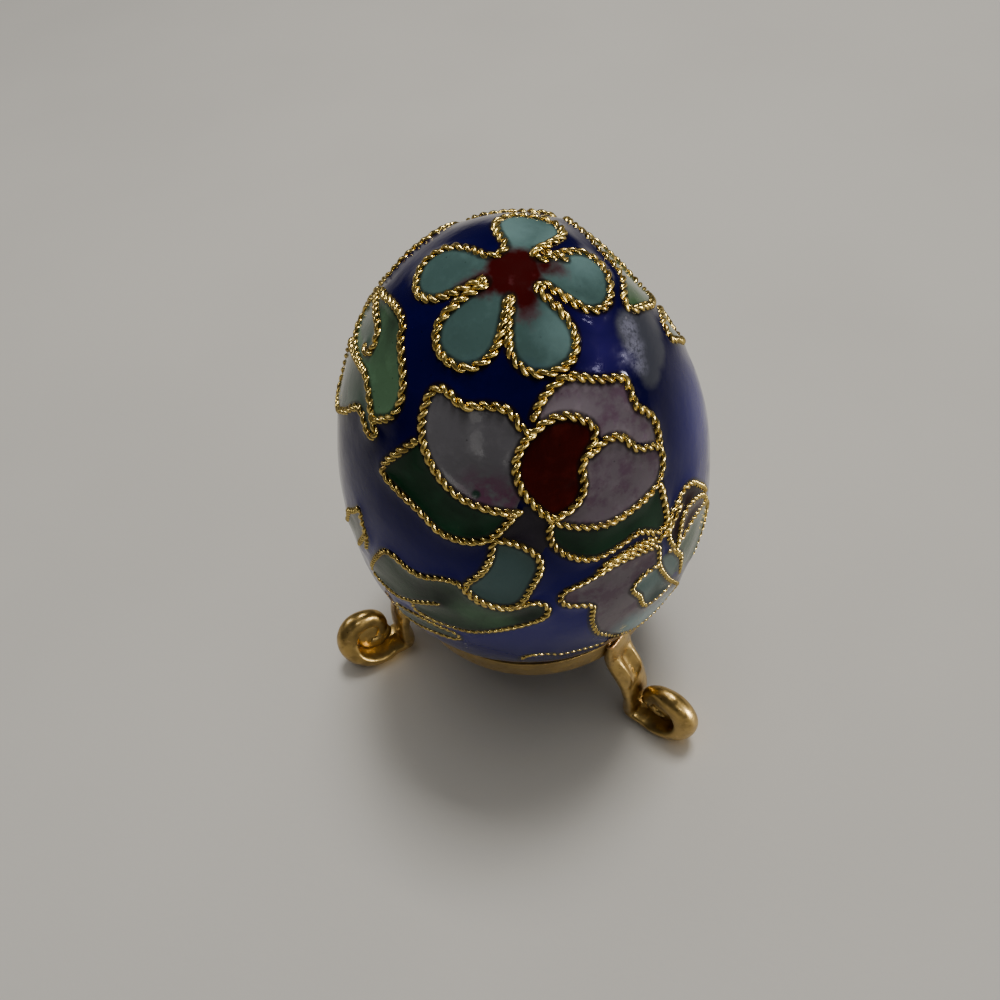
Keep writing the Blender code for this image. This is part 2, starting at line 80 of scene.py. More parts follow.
# Where the solids stand
RING_LOW, RING_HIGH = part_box("stand_ring")
AXIS = np.array([0.5 * (RING_LOW.x + RING_HIGH.x), 0.5 * (RING_LOW.y + RING_HIGH.y), 0.0])
RING_OUTER = 0.5 * (RING_HIGH.x - RING_LOW.x)

# Egg
EGG_RADIUS = 12.5 * MM
EGG_CROWN = 20.35 * MM
EGG_BASE = 12.4 * MM
EGG_WAIST_Z = 20.0 * MM
FLAT_TOWARD = np.array(Vector((0.79, 0.24, 0.56)).normalized())
FLAT_DEPTH = 0.65 * MM
FLAT_SPREAD = math.radians(32.0)
PROFILE_STEPS = 6000
FACING = 0.05

# Legs, as (out from the ring, height, width, thickness, swell) from the ring down
SHANK_MM = (
    (-0.16, 12.0, 2.5, 0.45, 0.0),
    (-0.12, 11.1, 2.8, 0.8, 0.0),
    (-0.1, 10.1, 2.9, 1.0, 0.0),
    (0.07, 9.0, 2.9, 1.0, 0.0),
    (0.65, 7.8, 2.9, 1.0, 0.0),
    (1.3, 6.4, 2.85, 1.0, 0.0),
    (1.75, 4.9, 2.85, 0.95, 0.0),
    (2.0, 3.3, 2.85, 0.95, 0.1),
    (2.2, 1.6, 2.85, 0.95, 0.43),
)
# Each leg's bearing, swing, reach of its scroll, lean of its scroll and the
# slant of the scroll's side, cut from the side that the sign tells
LEGS = {
    "leg_front_right": (29.5, 16.0, 4.15 * MM, -0.15 * MM, -1.1 * MM),
    "leg_back": (150.0, 18.0, 4.25 * MM, -0.4 * MM, 1.1 * MM),
    "leg_left": (-87.0, 20.0, 4.45 * MM, -0.8 * MM, 1.1 * MM),
}
WEB_RADIUS = 1.65 * MM
WEB_HALF = 0.3 * MM
KNEE_HEIGHT = 8.0 * MM
KNEE_LENGTH = 1.9 * MM
LEAN_OUT = 2.2 * MM
LEAN_RUN = 1.2 * MM
LEAN_LOW = 0.4 * MM
LEAN_RISE = 4.3 * MM
SCROLL_HEIGHT = 3.0 * MM
SCROLL_RADIUS = 2.05 * MM
SCROLL_WIDTH = 2.85 * MM
SCROLL_SWELL = 0.1 * MM
SCROLL_THICKNESS = 0.9 * MM
SCROLL_CROWN = 0.75 * MM
EYE_RADIUS = 0.5 * MM
EYE_WIDTH = 1.5 * MM
EYE_THINNING = 0.13 * MM
EYE_CROWN = 0.1 * MM
SCROLL_START = 250.0
SCROLL_OPEN = 405.0
SCROLL_CLOSED = 570.0
SCROLL_END = 690.0


# Settings

def length(name, description, default):
    """A length that the sidebar shows in millimetres or metres."""
    return FloatProperty(name=name, description=description, default=default, min=0.0,
                         precision=5, unit="LENGTH")


def share(name, description, default):
    """A number from nothing to all."""
    return FloatProperty(name=name, description=description, default=default, min=0.0, max=1.0,
                         subtype="FACTOR")


def tint(name, description, default):
    """A linear colour."""
    return FloatVectorProperty(name=name, description=description, default=default, size=3,
                               min=0.0, max=1.0, subtype="COLOR")


class EnamelSettings(bpy.types.PropertyGroup):
    """Surface and colours of the enamel."""

    spacing: length("Spacing", "Distance between points of the enamel's surface", 0.17 * MM)
    climb: length("Climb", "How high the enamel creeps up a wire", 0.1 * MM)
    climb_reach: length("Climb reach", "How far from a wire the climb fades", 0.42 * MM)
    sag: length("Sag", "How far the enamel lies under the true egg between wires", 0.05 * MM)
    ripple: length("Ripple", "Height of the slow unevenness of the fired surface", 0.03 * MM)
    gloss: share("Roughness", "Roughness of the polished enamel", 0.1)
    cobalt: tint("Cobalt", "Ground colour near the crown", (0.0020, 0.0006, 0.050))
    # Painted side light: a lighter blue for the egg's lower sides, where more light falls than on the crown
    side_lit_cobalt: tint("Low cobalt", "Ground colour low on the egg", (0.013, 0.008, 0.300))
    turquoise: tint("Turquoise", "Petals of the top flower and buds", (0.068, 0.132, 0.126))
    garnet: tint("Garnet", "Drop in the open flower", (0.055, 0.004, 0.003))
    lilac: tint("Lilac", "Petals of the open flower", (0.235, 0.195, 0.232))
    smoke: tint("Smoke", "Grey left petal of the open flower", (0.145, 0.141, 0.158))
    leaf: tint("Leaf", "Dark green leaves", (0.004, 0.036, 0.014))
    sea: tint("Sea", "Scrolling leaf", (0.022, 0.062, 0.030))
    mint: tint("Mint", "Pale green petals", (0.100, 0.200, 0.110))
    moss: tint("Moss", "Grey green petals", (0.075, 0.120, 0.095))
    dusk: tint("Dusk", "Small dark cell under the open flower", (0.030, 0.024, 0.038))
    plum: tint("Plum", "Outer layer of the low bud", (0.045, 0.016, 0.018))


class WireSettings(bpy.types.PropertyGroup):
    """Twisted wires soldered round the cells."""

    width: length("Width", "Width of the twisted pair", 0.53 * MM)
    pitch: length("Pitch", "Length of one full twist", 1.12 * MM)
    sink: length("Sink", "Depth of the pair's middle under the true egg", 0.01 * MM)
    low_sink: length("Low sink", "How much deeper the wires low on the egg lie", 0.05 * MM)
    wander: length("Wander", "How far the hand-bent wire strays", 0.05 * MM)
    sides: IntProperty(name="Sides", description="Sides of one strand", default=8, min=5, max=16)
    gilt: tint("Gilt", "Gilding of the wires", (0.62, 0.46, 0.13))


class StandSettings(bpy.types.PropertyGroup):
    """Brass ring and legs."""

    ring_height: length("Ring height", "Height of the turned ring", RING_HIGH.z - RING_LOW.z)
    ring_wall: length("Ring wall", "Thickness of the turned ring", 0.75 * MM)
    casting: length("Casting", "Unevenness of the cast legs", 0.05 * MM)
    groove: length("Groove", "Depth of the groove between the ribs of the knee", 0.6 * MM)
    brass: tint("Brass", "Colour of the ring and legs", (0.62, 0.42, 0.14))
    solder: tint("Solder", "Reddish brazing at the legs' roots", (0.50, 0.29, 0.12))


class StageSettings(bpy.types.PropertyGroup):
    """Floor, lights and camera."""

    floor: tint("Floor", "Colour of the plain floor", (0.82, 0.80, 0.75))
    room: FloatProperty(name="Room", description="Brightness of the surroundings", default=0.07, min=0.0)
    key: FloatProperty(name="Key", description="Power of the main soft light", default=0.55, min=0.0,
                       unit="POWER")


# Egg surface, with its axis through AXIS

def egg_profile():
    """Arc length from the apex, radius and height along the egg's outline."""
    turn = np.linspace(0.0, math.pi, PROFILE_STEPS + 1)
    depth = np.where(turn < 0.5 * math.pi, EGG_CROWN, EGG_BASE)
    radius = EGG_RADIUS * np.sin(turn)
    height = EGG_WAIST_Z + depth * np.cos(turn)
    steps = np.hypot(np.diff(radius), np.diff(height))
    return np.concatenate([[0.0], np.cumsum(steps)]), radius, height


ARC, RADIUS, HEIGHT = egg_profile()
EGG_ARC = float(ARC[-1])


def egg_points(bearing, arc):
    """Points on the egg; the bearing is in degrees from the front to the right."""
    turn = np.radians(bearing)
    radius = np.interp(arc, ARC, RADIUS)
    height = np.interp(arc, ARC, HEIGHT)
    return np.stack([radius * np.sin(turn), -radius * np.cos(turn), height], axis=-1) + AXIS


def egg_normals(points):
    """Outward unit normals of the egg at points on it."""
    local = points - AXIS
    depth = np.where(local[..., 2] >= EGG_WAIST_Z, EGG_CROWN, EGG_BASE)
    normals = np.stack([local[..., 0] / EGG_RADIUS ** 2, local[..., 1] / EGG_RADIUS ** 2,
                        (local[..., 2] - EGG_WAIST_Z) / depth ** 2], axis=-1)
    return normals / np.linalg.norm(normals, axis=-1, keepdims=True)


def egg_flat(normals):
    """How far the egg is pressed in where it faces these ways."""
    turn = np.arccos(np.clip(normals @ FLAT_TOWARD, -1.0, 1.0))
    return 0.5 * FLAT_DEPTH * (1.0 + np.cos(math.pi * np.minimum(1.0, turn / FLAT_SPREAD)))


def pressed(points, proud=0.0):
    """Points of the true egg moved on to the finished one, or a little proud of it."""
    normals = egg_normals(points)
    return points + normals * np.asarray(proud - egg_flat(normals))[..., None]


def unit(vectors):
    """Vectors scaled to length one."""
    return vectors / np.maximum(np.linalg.norm(vectors, axis=-1, keepdims=True), 1e-12)


class MotifFrame:
    """Flat frame that a motif is drawn in, laid square on the egg."""

    def __init__(self, bearing, arc_mm):
        self.middle = egg_points(bearing, arc_mm * MM)
        self.normal = egg_normals(self.middle)
        turn = math.radians(bearing)
        self.right = np.array([math.cos(turn), math.sin(turn), 0.0])
        self.upward = np.cross(self.normal, self.right)

    def lay(self, flat_mm):
        """Drop points of the flat frame onto the egg along the frame's normal."""
        flat = np.asarray(flat_mm, float) * MM
        points = self.middle + flat[:, :1] * self.right + flat[:, 1:] * self.upward
        laid = np.full_like(points, np.nan)
        for depth, crown in ((EGG_CROWN, True), (EGG_BASE, False)):
            scale = np.array([1.0 / EGG_RADIUS, 1.0 / EGG_RADIUS, 1.0 / depth])
            start = (points - AXIS - [0.0, 0.0, EGG_WAIST_Z]) * scale
            way = self.normal * scale
            half = start @ way
            root = half * half - (way @ way) * ((start * start).sum(1) - 1.0)
            step = (np.sqrt(np.maximum(root, 0.0)) - half) / (way @ way)
            hit = points + step[:, None] * self.normal
            good = (root >= 0.0) & ((hit[:, 2] >= EGG_WAIST_Z) == crown)
            laid[good] = hit[good]
        return laid

    def flatten(self, points):
        """Flat coordinates in millimetres of points on the egg, and which face the frame."""
        offset = points - self.middle
        flat = np.stack([offset @ self.right, offset @ self.upward], axis=-1) / MM
        return flat, egg_normals(points) @ self.normal > FACING


# Motifs. Each cell is (enamel, wire, corners), and then the corners that close
# its enamel beyond an open wire, if it has any. The wire is "loop", "open" or,
# for a cell bounded by its neighbours' wires, "bare". A cell with no enamel is
# a wire alone. A corner is (x, y, bow), where the bow is how far the line to
# the next corner swings out to the left of its way, or (x, y) where that line
# is straight. Later cells cover earlier ones.

PETAL_SHOULDER = 0.73
PETAL_BOW = 0.28
ROOT_BOW_MM = 0.12
NOTCH_BOW_MM = -0.28


def flower(petals, notch, notch_half):
    """One outline round petals given as direction, reach and half width."""
    corners = []
    for direction, reach, half in petals:
        turn = math.radians(direction)
        along = np.array([math.cos(turn), math.sin(turn)])
        across = np.array([-math.sin(turn), math.cos(turn)])
        shoulder = PETAL_SHOULDER * reach
        for out, side, bow in (
            (notch, notch_half, ROOT_BOW_MM),
            (shoulder, half, PETAL_BOW * half),
            (reach, 0.0, PETAL_BOW * half),
            (shoulder, -half, ROOT_BOW_MM),
            (notch, -notch_half, NOTCH_BOW_MM),
        ):
            corners.append((*(along * out + across * side), bow))
    return corners


def top_flower():
    """Five broad petals round the apex."""
    petals = [(58.5, 4.5, 1.75), (-16, 4.75, 1.75), (-86, 5.0, 1.65), (-145, 5.05, 1.6), (151, 4.9, 1.6)]
    spare = [(1.5, 0.95, 0.1), (2.1, 0.45), (2.7, 0.2)]
    return [("turquoise", "loop", flower(petals, 1.5, 0.7)), (None, "open", spare)]


def base_flower():
    """Five small petals under the egg, inside the ring."""
    petals = [(90 - 72 * i, 4.2, 1.25) for i in range(5)]
    return [("turquoise", "loop", flower(petals, 1.3, 0.5))]


def peony():
    """Large open flower with a drop in its middle and two long leaves."""
    cup = [(-1.2, -1.5), (-0.1, -2.7), (-0.35, -4.1), (-0.9, -4.7), (-1.6, -4.0),
           (-2.9, -3.2), (-1.8, -1.9)]
    left_leaf = [(-1.8, -1.9), (-3.1, -3.25, 0.45), (-6.0, -2.8, -0.1), (-7.9, -0.3, 0.3),
                 (-7.95, 0.85, 0.03), (-6.1, 2.2)]
    right_leaf = [(6.15, -2.8), (6.6, -5.3, 0.23), (5.8, -5.95, -0.06), (4.6, -5.15, 0.08),
                  (2.2, -5.9, 0.38), (-0.2, -4.2, 0.15), (-0.1, -2.75)]
    left_petal = [(-1.75, -1.85, 0.15), (-4.1, -1.0, 0.1), (-5.15, 0.2, 0.7), (-4.8, 4.65, 0.2),
                  (-3.95, 4.65, -0.05), (-3.3, 3.9, 0.1), (-1.6, 3.7, 0.15), (-1.05, 2.9, -0.05),
                  (-0.5, 2.25)]
    upper_petal = [(-0.2, 3.0, 0.12), (0.9, 4.2, 0.22), (2.4, 4.3, -0.1), (4.4, 3.75, 0.15),
                   (4.8, 3.0), (5.05, 2.0, 0.1), (6.05, 0.95, 0.05), (6.25, -0.5)]
    lower_petal = [(2.35, 0.5), (3.1, 1.0, 0.1), (4.1, 0.85), (4.8, -0.1), (6.0, -0.4, 0.08),
                   (6.35, -0.95, 0.15), (6.0, -2.6, 0.25), (2.7, -3.8, 0.18), (-0.1, -2.7)]
    drop = [(-0.1, -2.6, 0.05), (-1.3, -0.8, 0.5), (-0.6, 2.1, 0.8), (2.7, 1.85, 0.14), (2.3, 0.8, -0.05),
            (1.75, 0.0), (1.8, -1.15, 0.23), (0.6, -2.4)]
    return [
        ("dusk", "bare", cup),
        ("leaf", "open", left_leaf),
        ("leaf", "open", right_leaf),
        ("smoke", "open", left_petal),
        ("lilac", "open", upper_petal),
        ("lilac", "open", lower_petal),
        ("garnet", "loop", drop),
    ]


def spray():
    """Bud over a stepped petal that holds a second bud."""
    bud = [(-4.1, 5.9, 0.1), (-2.8, 5.5, 0.55), (-2.2, 3.1), (-3.1, 1.3, 0.2), (-4.3, 0.6, 0.25),
           (-6.0, 1.8, 0.15), (-5.8, 2.7, -0.33)]
    petal = [(2.3, -6.0, -0.05), (1.0, -4.2, 0.25), (0.75, -0.7, -0.1), (-0.6, 0.0, 0.4), (-0.9, 1.5),
             (1.4, 2.2, 0.1), (3.3, 2.3, 0.1), (5.1, 1.7), (5.15, 0.0, -0.15), (6.7, -3.9),
             (7.6, -6.0), (7.0, -7.3), (4.0, -7.2)]
    small_bud = [(6.4, -3.9, 0.1), (4.4, -3.9, 0.15), (3.9, -2.2), (3.2, -0.9, 0.2), (4.1, 0.05, 0.05),
                 (5.1, -0.1)]
    rope = [(1.2, 2.45, 0.1), (3.4, 2.65, 0.1), (5.0, 2.05), (5.9, 2.6)]
    rope_end = [(1.6, 2.75), (3.4, 3.0, 0.1), (4.9, 2.45)]
    lens = [(-3.8, -6.3, 0.3), (-2.9, -5.5, 0.2), (-1.6, -6.0, 0.1), (1.5, -6.3)]
    return [
        ("turquoise", "loop", bud),
        ("lilac", "loop", petal),
        ("turquoise", "open", small_bud),
        (None, "open", rope),
        (None, "open", rope_end),
        (None, "open", lens),
    ]


def scroll_leaf():
    """Long wavy leaf with a narrow loop under it and a pointed leaf beside it."""
    wave = [(-1.4, -3.4, -0.05), (-2.4, -3.95), (-4.5, -4.1, 0.4), (-4.9, -3.0, 0.1), (-3.2, 0.15, 0.3),
            (-1.7, 0.3, -0.2), (0.1, 0.2, 0.18), (2.2, 0.65, -0.42), (4.4, -1.1, -0.15), (5.7, -0.4, 0.1),
            (6.5, -0.4, 0.3), (6.5, -2.0, 0.12), (2.4, -4.35, 0.08), (-1.4, -4.4), (-1.4, -3.4, 0.05),
            (0.7, -2.1)]
    loop = [(-3.2, -5.6, 0.1), (-1.0, -5.0, 0.05), (1.5, -5.2, 0.25), (1.35, -6.1, 0.05), (-3.0, -6.9, 0.2)]
    tip = [(-6.3, -2.4), (-4.75, 0.3, 0.1), (-5.1, 2.1, 0.05), (-7.0, 0.1, 0.2), (-8.4, -2.6)]
    rope = [(-4.86, 0.7), (-4.64, 0.1), (-5.1, -1.4)]
    return [
        ("sea", "open", wave),
        ("sea", "loop", loop),
        ("sea", "open", tip),
        (None, "open", rope),
    ]


def side_flower():
    """Round-petalled flower on the left side."""
    lower = [(1.6, -1.5), (2.25, -1.9, 0.3), (1.1, -2.2, -0.1), (0.1, -1.8, -0.1), (-1.2, -3.2),
             (-3.0, -4.6, 0.2), (-5.5, -4.6, 0.5), (-5.2, -1.2, 0.1), (-0.5, 0.0)]
    upper = [(1.6, -1.55, -0.2), (-0.5, 0.0, 0.05), (-3.0, -0.2, 0.1), (-5.0, 0.2, 0.4), (-5.0, 2.0, 0.3),
             (-3.0, 3.2, 0.15), (-0.4, 3.8, 0.2), (0.55, 3.1, 0.05), (2.0, 2.0, 0.35), (2.7, -0.2, 0.1),
             (1.7, -1.2)]
    hook = [(-4.4, 2.5), (-1.6, 2.3, 0.2), (-0.9, 1.2, 0.2), (-1.8, 0.7)]
    return [
        ("moss", "open", lower),
        ("mint", "loop", upper),
        ("moss", "open", hook, [(-4.8, 0.4), (-5.2, 1.4)]),
    ]


def twin_leaves():
    """Two slanting leaves high on the right side."""
    upper = [(-3.4, 1.0, 0.2), (-3.2, 1.85, 0.05), (-1.6, 1.45, -0.1), (0.3, 2.2, 0.1), (3.4, 2.6, 0.4),
             (5.2, 0.4, 0.4), (3.0, -3.6, 0.3), (0.0, -2.8), (-2.2, -0.8)]
    lower = [(-3.6, -2.4, 0.15), (-3.0, -1.65, 0.1), (-1.2, -2.6), (0.3, -4.4, 0.2), (0.6, -6.5, 0.4),
             (-1.0, -6.0, 0.1), (-2.6, -4.1)]
    return [("mint", "loop", upper), ("mint", "loop", lower)]


def layered_bud():
    """Three-layered bud low on the right side."""
    outer = [(-1.8, -1.4, 0.1), (-2.2, 0.4, 0.05), (-1.9, 1.6), (-0.4, 2.3, 0.25), (1.2, 1.1, 0.1),
             (2.6, -1.2)]
    middle = [(-1.5, -1.6, 0.1), (-0.8, 0.45, 0.15), (0.5, 0.4, 0.1), (2.0, -0.9, 0.15), (2.6, -2.4)]
    cup = [(-1.0, -5.6), (-1.1, -3.0, 0.2), (-1.6, -1.7, 0.1), (0.4, -1.15, 0.05), (2.1, -1.8, 0.3),
           (3.4, -4.2, 0.3), (1.2, -6.4)]
    stem = [(-2.2, -1.3, 0.05), (-1.6, -2.2, 0.1), (-1.2, -3.4)]
    tie = [(-2.05, 0.6, 0.1), (-0.9, 1.35)]
    return [
        ("plum", "open", outer),
        ("garnet", "open", middle),
        ("mint", "open", cup),
        ("turquoise", "open", stem, [(-1.0, -5.0), (-2.2, -4.3), (-3.0, -3.0), (-3.35, -2.0), (-3.1, -1.3)]),
        (None, "open", tie),
    ]


def sprig():
    """Small bud between two leaves."""
    bud = [(-1.6, 0.2, 0.5), (0.2, 2.6, 0.3), (1.6, 1.4, 0.2), (0.9, -0.6, 0.3)]
    left_leaf = [(-1.4, -0.6, 0.4), (-4.2, -2.2, 0.3), (-2.6, -2.9)]
    right_leaf = [(0.9, -1.2, -0.2), (3.3, -0.8, 0.2), (4.2, -2.0, 0.5), (1.6, -2.9, 0.2)]
    return [("turquoise", "loop", bud), ("leaf", "loop", left_leaf), ("sea", "loop", right_leaf)]


# Name of each wire piece, its motif, the bearing in degrees and the arc from
# the apex in millimetres of its middle. The back repeats the front.
MOTIFS = (
    ("wires_top_flower", top_flower, 10, 1.85),
    ("wires_peony", peony, 3, 12.0),
    ("wires_spray", spray, 8, 21.5),
    ("wires_scroll_leaf", scroll_leaf, -35, 20.0),
    ("wires_side_flower", side_flower, -71, 10.0),
    ("wires_twin_leaves", twin_leaves, 98, 8.0),
    ("wires_layered_bud", layered_bud, 48, 20.0),
    ("wires_peony_back", peony, -160, 10.4),
    ("wires_spray_back", spray, 188, 21.5),
    ("wires_scroll_leaf_back", scroll_leaf, 145, 20.0),
    ("wires_layered_bud_back", layered_bud, 228, 20.0),
    ("wires_sprig_right", sprig, 94, 28.5),
    ("wires_sprig_left", sprig, -97, 28.0),
    ("wires_base_flower", base_flower, 0, EGG_ARC / MM),
)
LINE_STEP_MM = 0.1
BOW_LENGTHENING = 2.7
EASE_REACH = 3


def outline(corners, closed):
    """Flat points along corners joined by shallow bows."""
    points = []
    for i in range(len(corners) if closed else len(corners) - 1):
        start = np.array(corners[i][:2], float)
        end = np.array(corners[(i + 1) % len(corners)][:2], float)
        bow = sum(corners[i][2:])
        chord = end - start
        size = math.hypot(*chord)
        count = max(1, math.ceil(size * (1.0 + BOW_LENGTHENING * (bow / size) ** 2) / LINE_STEP_MM))
        along = np.arange(count)[:, None] / count
        left = np.array([-chord[1], chord[0]]) / size
        points.append(start + chord * along + left * (4.0 * bow * along * (1.0 - along)))
    if not closed:
        points.append(np.array([corners[-1][:2]], float))
    return np.concatenate(points)


def eased(points, closed):
    """Round the kinks of a line with a short moving average."""
    ends = (points[-EASE_REACH:], points[:EASE_REACH])
    if not closed:
        ends = [np.repeat(end, EASE_REACH, 0) for end in (points[:1], points[-1:])]
    padded = np.concatenate([ends[0], points, ends[1]])
    window = np.ones(2 * EASE_REACH + 1) / (2 * EASE_REACH + 1)
    smooth = np.stack([np.convolve(padded[:, k], window, "valid") for k in range(points.shape[1])], -1)
    if not closed:
        smooth[0] = points[0]
        smooth[-1] = points[-1]
    return smooth


def evenly(points, closed, step):
    """Points spaced evenly along a line."""
    ring = np.concatenate([points, points[:1]]) if closed else points
    arc = np.concatenate([[0.0], np.cumsum(np.linalg.norm(np.diff(ring, axis=0), axis=1))])
    count = max(2, round(arc[-1] / step))
    places = np.linspace(0.0, arc[-1], count + 1)
    if closed:
        places = places[:-1]
    return np.stack([np.interp(places, arc, ring[:, k]) for k in range(3)], -1)


def motif_lines(motif, place):
    """Centre lines of one motif's wires as (closed, points on the egg)."""
    lines = []
    for _, wire, corners, *_ in motif():
        if wire != "bare":
            closed = wire == "loop"
            laid = place.lay(outline(corners, closed))
            lines.append((closed, eased(laid, closed)))
    return lines


def build_lines():
    """Centre lines of every wire piece by name."""
    return {name: motif_lines(motif, MotifFrame(bearing, arc)) for name, motif, bearing, arc in MOTIFS}


LINES = build_lines()


# Small mesh tools

def placed(name, data):
    """Object of some data, put into the scene."""
    made = bpy.data.objects.new(name, data)
    bpy.context.scene.collection.objects.link(made)
    return made


def new_piece(name, points, faces, finish):
    """Mesh object from points and faces, shaded smooth and riding on the body."""
    mesh = bpy.data.meshes.new(name)
    mesh.from_pydata(np.asarray(points).tolist(), [], [list(face) for face in faces])
    mesh.shade_smooth()
    mesh.materials.append(finish)
    piece = placed(name, mesh)
    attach(piece, BODY)
    return piece


class Clay:
    """Points and faces gathered for one mesh."""

    def __init__(self):
        self.points = []
        self.faces = []
        self.count = 0

    def add(self, points, faces):
        """Take in a separate closed form."""
        self.points.append(np.asarray(points))
        self.faces.extend(tuple(self.count + i for i in face) for face in faces)
        self.count += len(points)

    def piece(self, name, finish, slot):
        """The gathered forms as one object."""
        return new_piece(name, np.concatenate(self.points), self.faces, finish)


def band_faces(rows, columns, closed):
    """Quads of a skin over rows of points that run round, with capped ends unless closed."""
    faces = []
    for row in range(rows if closed else rows - 1):
        near = row * columns
        far = (row + 1) % rows * columns
        for i in range(columns):
            j = (i + 1) % columns
            faces.append((near + i, near + j, far + j, far + i))
    if not closed:
        faces.append(tuple(reversed(range(columns))))
        faces.append(tuple((rows - 1) * columns + i for i in range(columns)))
    return faces


BALL_RINGS = 7
BALL_SIDES = 12


def ball_shape():
    """Unit ball as points and faces."""
    points = [(0.0, 0.0, 1.0)]
    for i in range(1, BALL_RINGS):
        tilt = math.pi * i / BALL_RINGS
        for j in range(BALL_SIDES):
            turn = math.tau * j / BALL_SIDES
            out = math.sin(tilt)
            points.append((out * math.cos(turn), out * math.sin(turn), math.cos(tilt)))
    points.append((0.0, 0.0, -1.0))
    last = len(points) - 1
    faces = []
    for j in range(BALL_SIDES):
        k = (j + 1) % BALL_SIDES
        faces.append((0, 1 + j, 1 + k))
        for top in range(1, last - BALL_SIDES, BALL_SIDES):
            faces.append((top + j, top + BALL_SIDES + j, top + BALL_SIDES + k, top + k))
        faces.append((last, last - BALL_SIDES + k, last - BALL_SIDES + j))
    return np.array(points), faces


BALL = ball_shape()
LUMP_UNEVEN = 0.25
LUMP_WAVES = 1.4


def lump(middle, sizes, axes, seed):
    """Uneven bead of metal with three sizes along three axes."""
    shape, faces = BALL
    shift = Vector((seed, -seed, 2.0 * seed))
    swell = [1.0 + LUMP_UNEVEN * noise.noise(Vector(point) * LUMP_WAVES + shift) for point in shape]
    return middle + (shape * np.array(swell)[:, None] * sizes) @ np.array(axes), faces


def drift(points, size, seed):
    """Smooth random numbers for points, about -1 to 1, that change over a size."""
    shift = Vector((seed, 2.0 * seed, -seed))
    return np.array([noise.noise(Vector(point) / size + shift) for point in points])


# Finishes

class Finish:
    """A material painted in layers over the object's own space; its sizes are in millimetres."""

    def __init__(self, name, colour, roughness, metallic=0.0, ior=1.5):
        self.material = bpy.data.materials.new(name)
        self.material.use_nodes = True
        self.nodes = self.material.node_tree.nodes
        self.shader = self.nodes["Principled BSDF"]
        self.put(self.shader, {"Metallic": metallic, "IOR": ior})
        self.place = self.nodes.new("ShaderNodeTexCoord").outputs["Object"]
        self.colour = (*colour, 1.0)
        self.roughness = roughness

    def put(self, node, inputs):
        """Set a node's inputs, or link them to other nodes' outputs."""
        for socket, value in inputs.items():
            if isinstance(value, bpy.types.NodeSocket):
                self.material.node_tree.links.new(value, node.inputs[socket])
            else:
                node.inputs[socket].default_value = value

    def node(self, kind, inputs, **modes):
        """New node with its modes and inputs set."""
        made = self.nodes.new("ShaderNode" + kind)
        for mode, value in modes.items():
            setattr(made, mode, value)
        self.put(made, inputs)
        return made

    def maths(self, operation, first, second):
        """Result of one sum."""
        return self.node("Math", {0: first, 1: second}, operation=operation).outputs[0]

    def cloud(self, size, detail=2.0, roughness=0.5):
        """Soft random pattern, about 0.25 to 0.75, with blotches of a size."""
        shape = {"Scale": 1.0 / (size * MM), "Detail": detail, "Roughness": roughness}
        return self.node("TexNoise", {"Vector": self.place, **shape}).outputs["Fac"]

    def stored(self, name):
        """A value kept at the mesh's points."""
        return self.node("Attribute", {}, attribute_name=name).outputs["Fac"]

    def level(self):
        """Height above the floor, in metres."""
        return self.node("SeparateXYZ", {0: self.place}).outputs[2]

    def slope(self, value, low, high):
        """Value eased from 0 at low to 1 at high."""
        ends = (low, high, 0.0, 1.0) if low < high else (high, low, 1.0, 0.0)
        inputs = dict(zip(("From Min", "From Max", "To Min", "To Max"), ends), Value=value)
        return self.node("MapRange", inputs, interpolation_type="SMOOTHSTEP").outputs[0]

    def near(self, spots, soft, ragged=0.0, grain=0.6):
        """1 inside spots, given as (point, radius), and 0 outside, with ragged edges."""
        closest = None
        for point, radius in spots:
            way = self.node("VectorMath", {0: self.place, 1: tuple(point)}, operation="DISTANCE")
            edge = self.maths("SUBTRACT", way.outputs["Value"], radius)
            closest = edge if closest is None else self.maths("MINIMUM", closest, edge)
        if ragged:
            shake = self.maths("SUBTRACT", self.cloud(grain, 3.0, 0.6), 0.5)
            closest = self.maths("ADD", closest, self.maths("MULTIPLY", shake, 4.0 * ragged * MM))
        return self.slope(closest, soft * MM, -soft * MM)

    def paint(self, share, colour, strength):
        """Lay a colour over what is there, where share is 1."""
        inputs = {0: self.maths("MULTIPLY", share, strength), 6: self.colour, 7: (*colour, 1.0)}
        self.colour = self.node("Mix", inputs, data_type="RGBA").outputs[2]

    def blotch(self, colour, strength, low, high, size, detail=2.0, roughness=0.5):
        """Paint a colour where a cloud is thick, from low to high."""
        self.paint(self.slope(self.cloud(size, detail, roughness), low, high), colour, strength)

    def stain(self, spots, colour, strength, soft, ragged=0.0, grain=0.6):
        """Paint a colour on spots with a soft and ragged edge."""
        self.paint(self.near(spots, soft, ragged, grain), colour, strength)

    def speckle(self, colour, strength, size, rim, core):
        """Paint a colour on specks scattered at a size, from their rims to their cores."""
        inputs = {"Vector": self.place, "Scale": 1.0 / (size * MM)}
        distance = self.node("TexVoronoi", inputs).outputs["Distance"]
        self.paint(self.slope(distance, rim, core), colour, strength)

    def dull(self, share, roughness):
        """Change the roughness where share is 1."""
        self.roughness = self.node("Mix", {0: share, 2: self.roughness, 3: roughness}).outputs[0]

    def relief(self, depth, size, detail=2.0):
        """Make the skin uneven by a cloud, to a depth."""
        bump = self.node("Bump", {"Distance": depth * MM, "Height": self.cloud(size, detail)})
        self.put(self.shader, {"Normal": bump.outputs[0]})

    def done(self):
        """Link the layers and hand over the material."""
        self.put(self.shader, {"Base Color": self.colour, "Roughness": self.roughness})
        return self.material


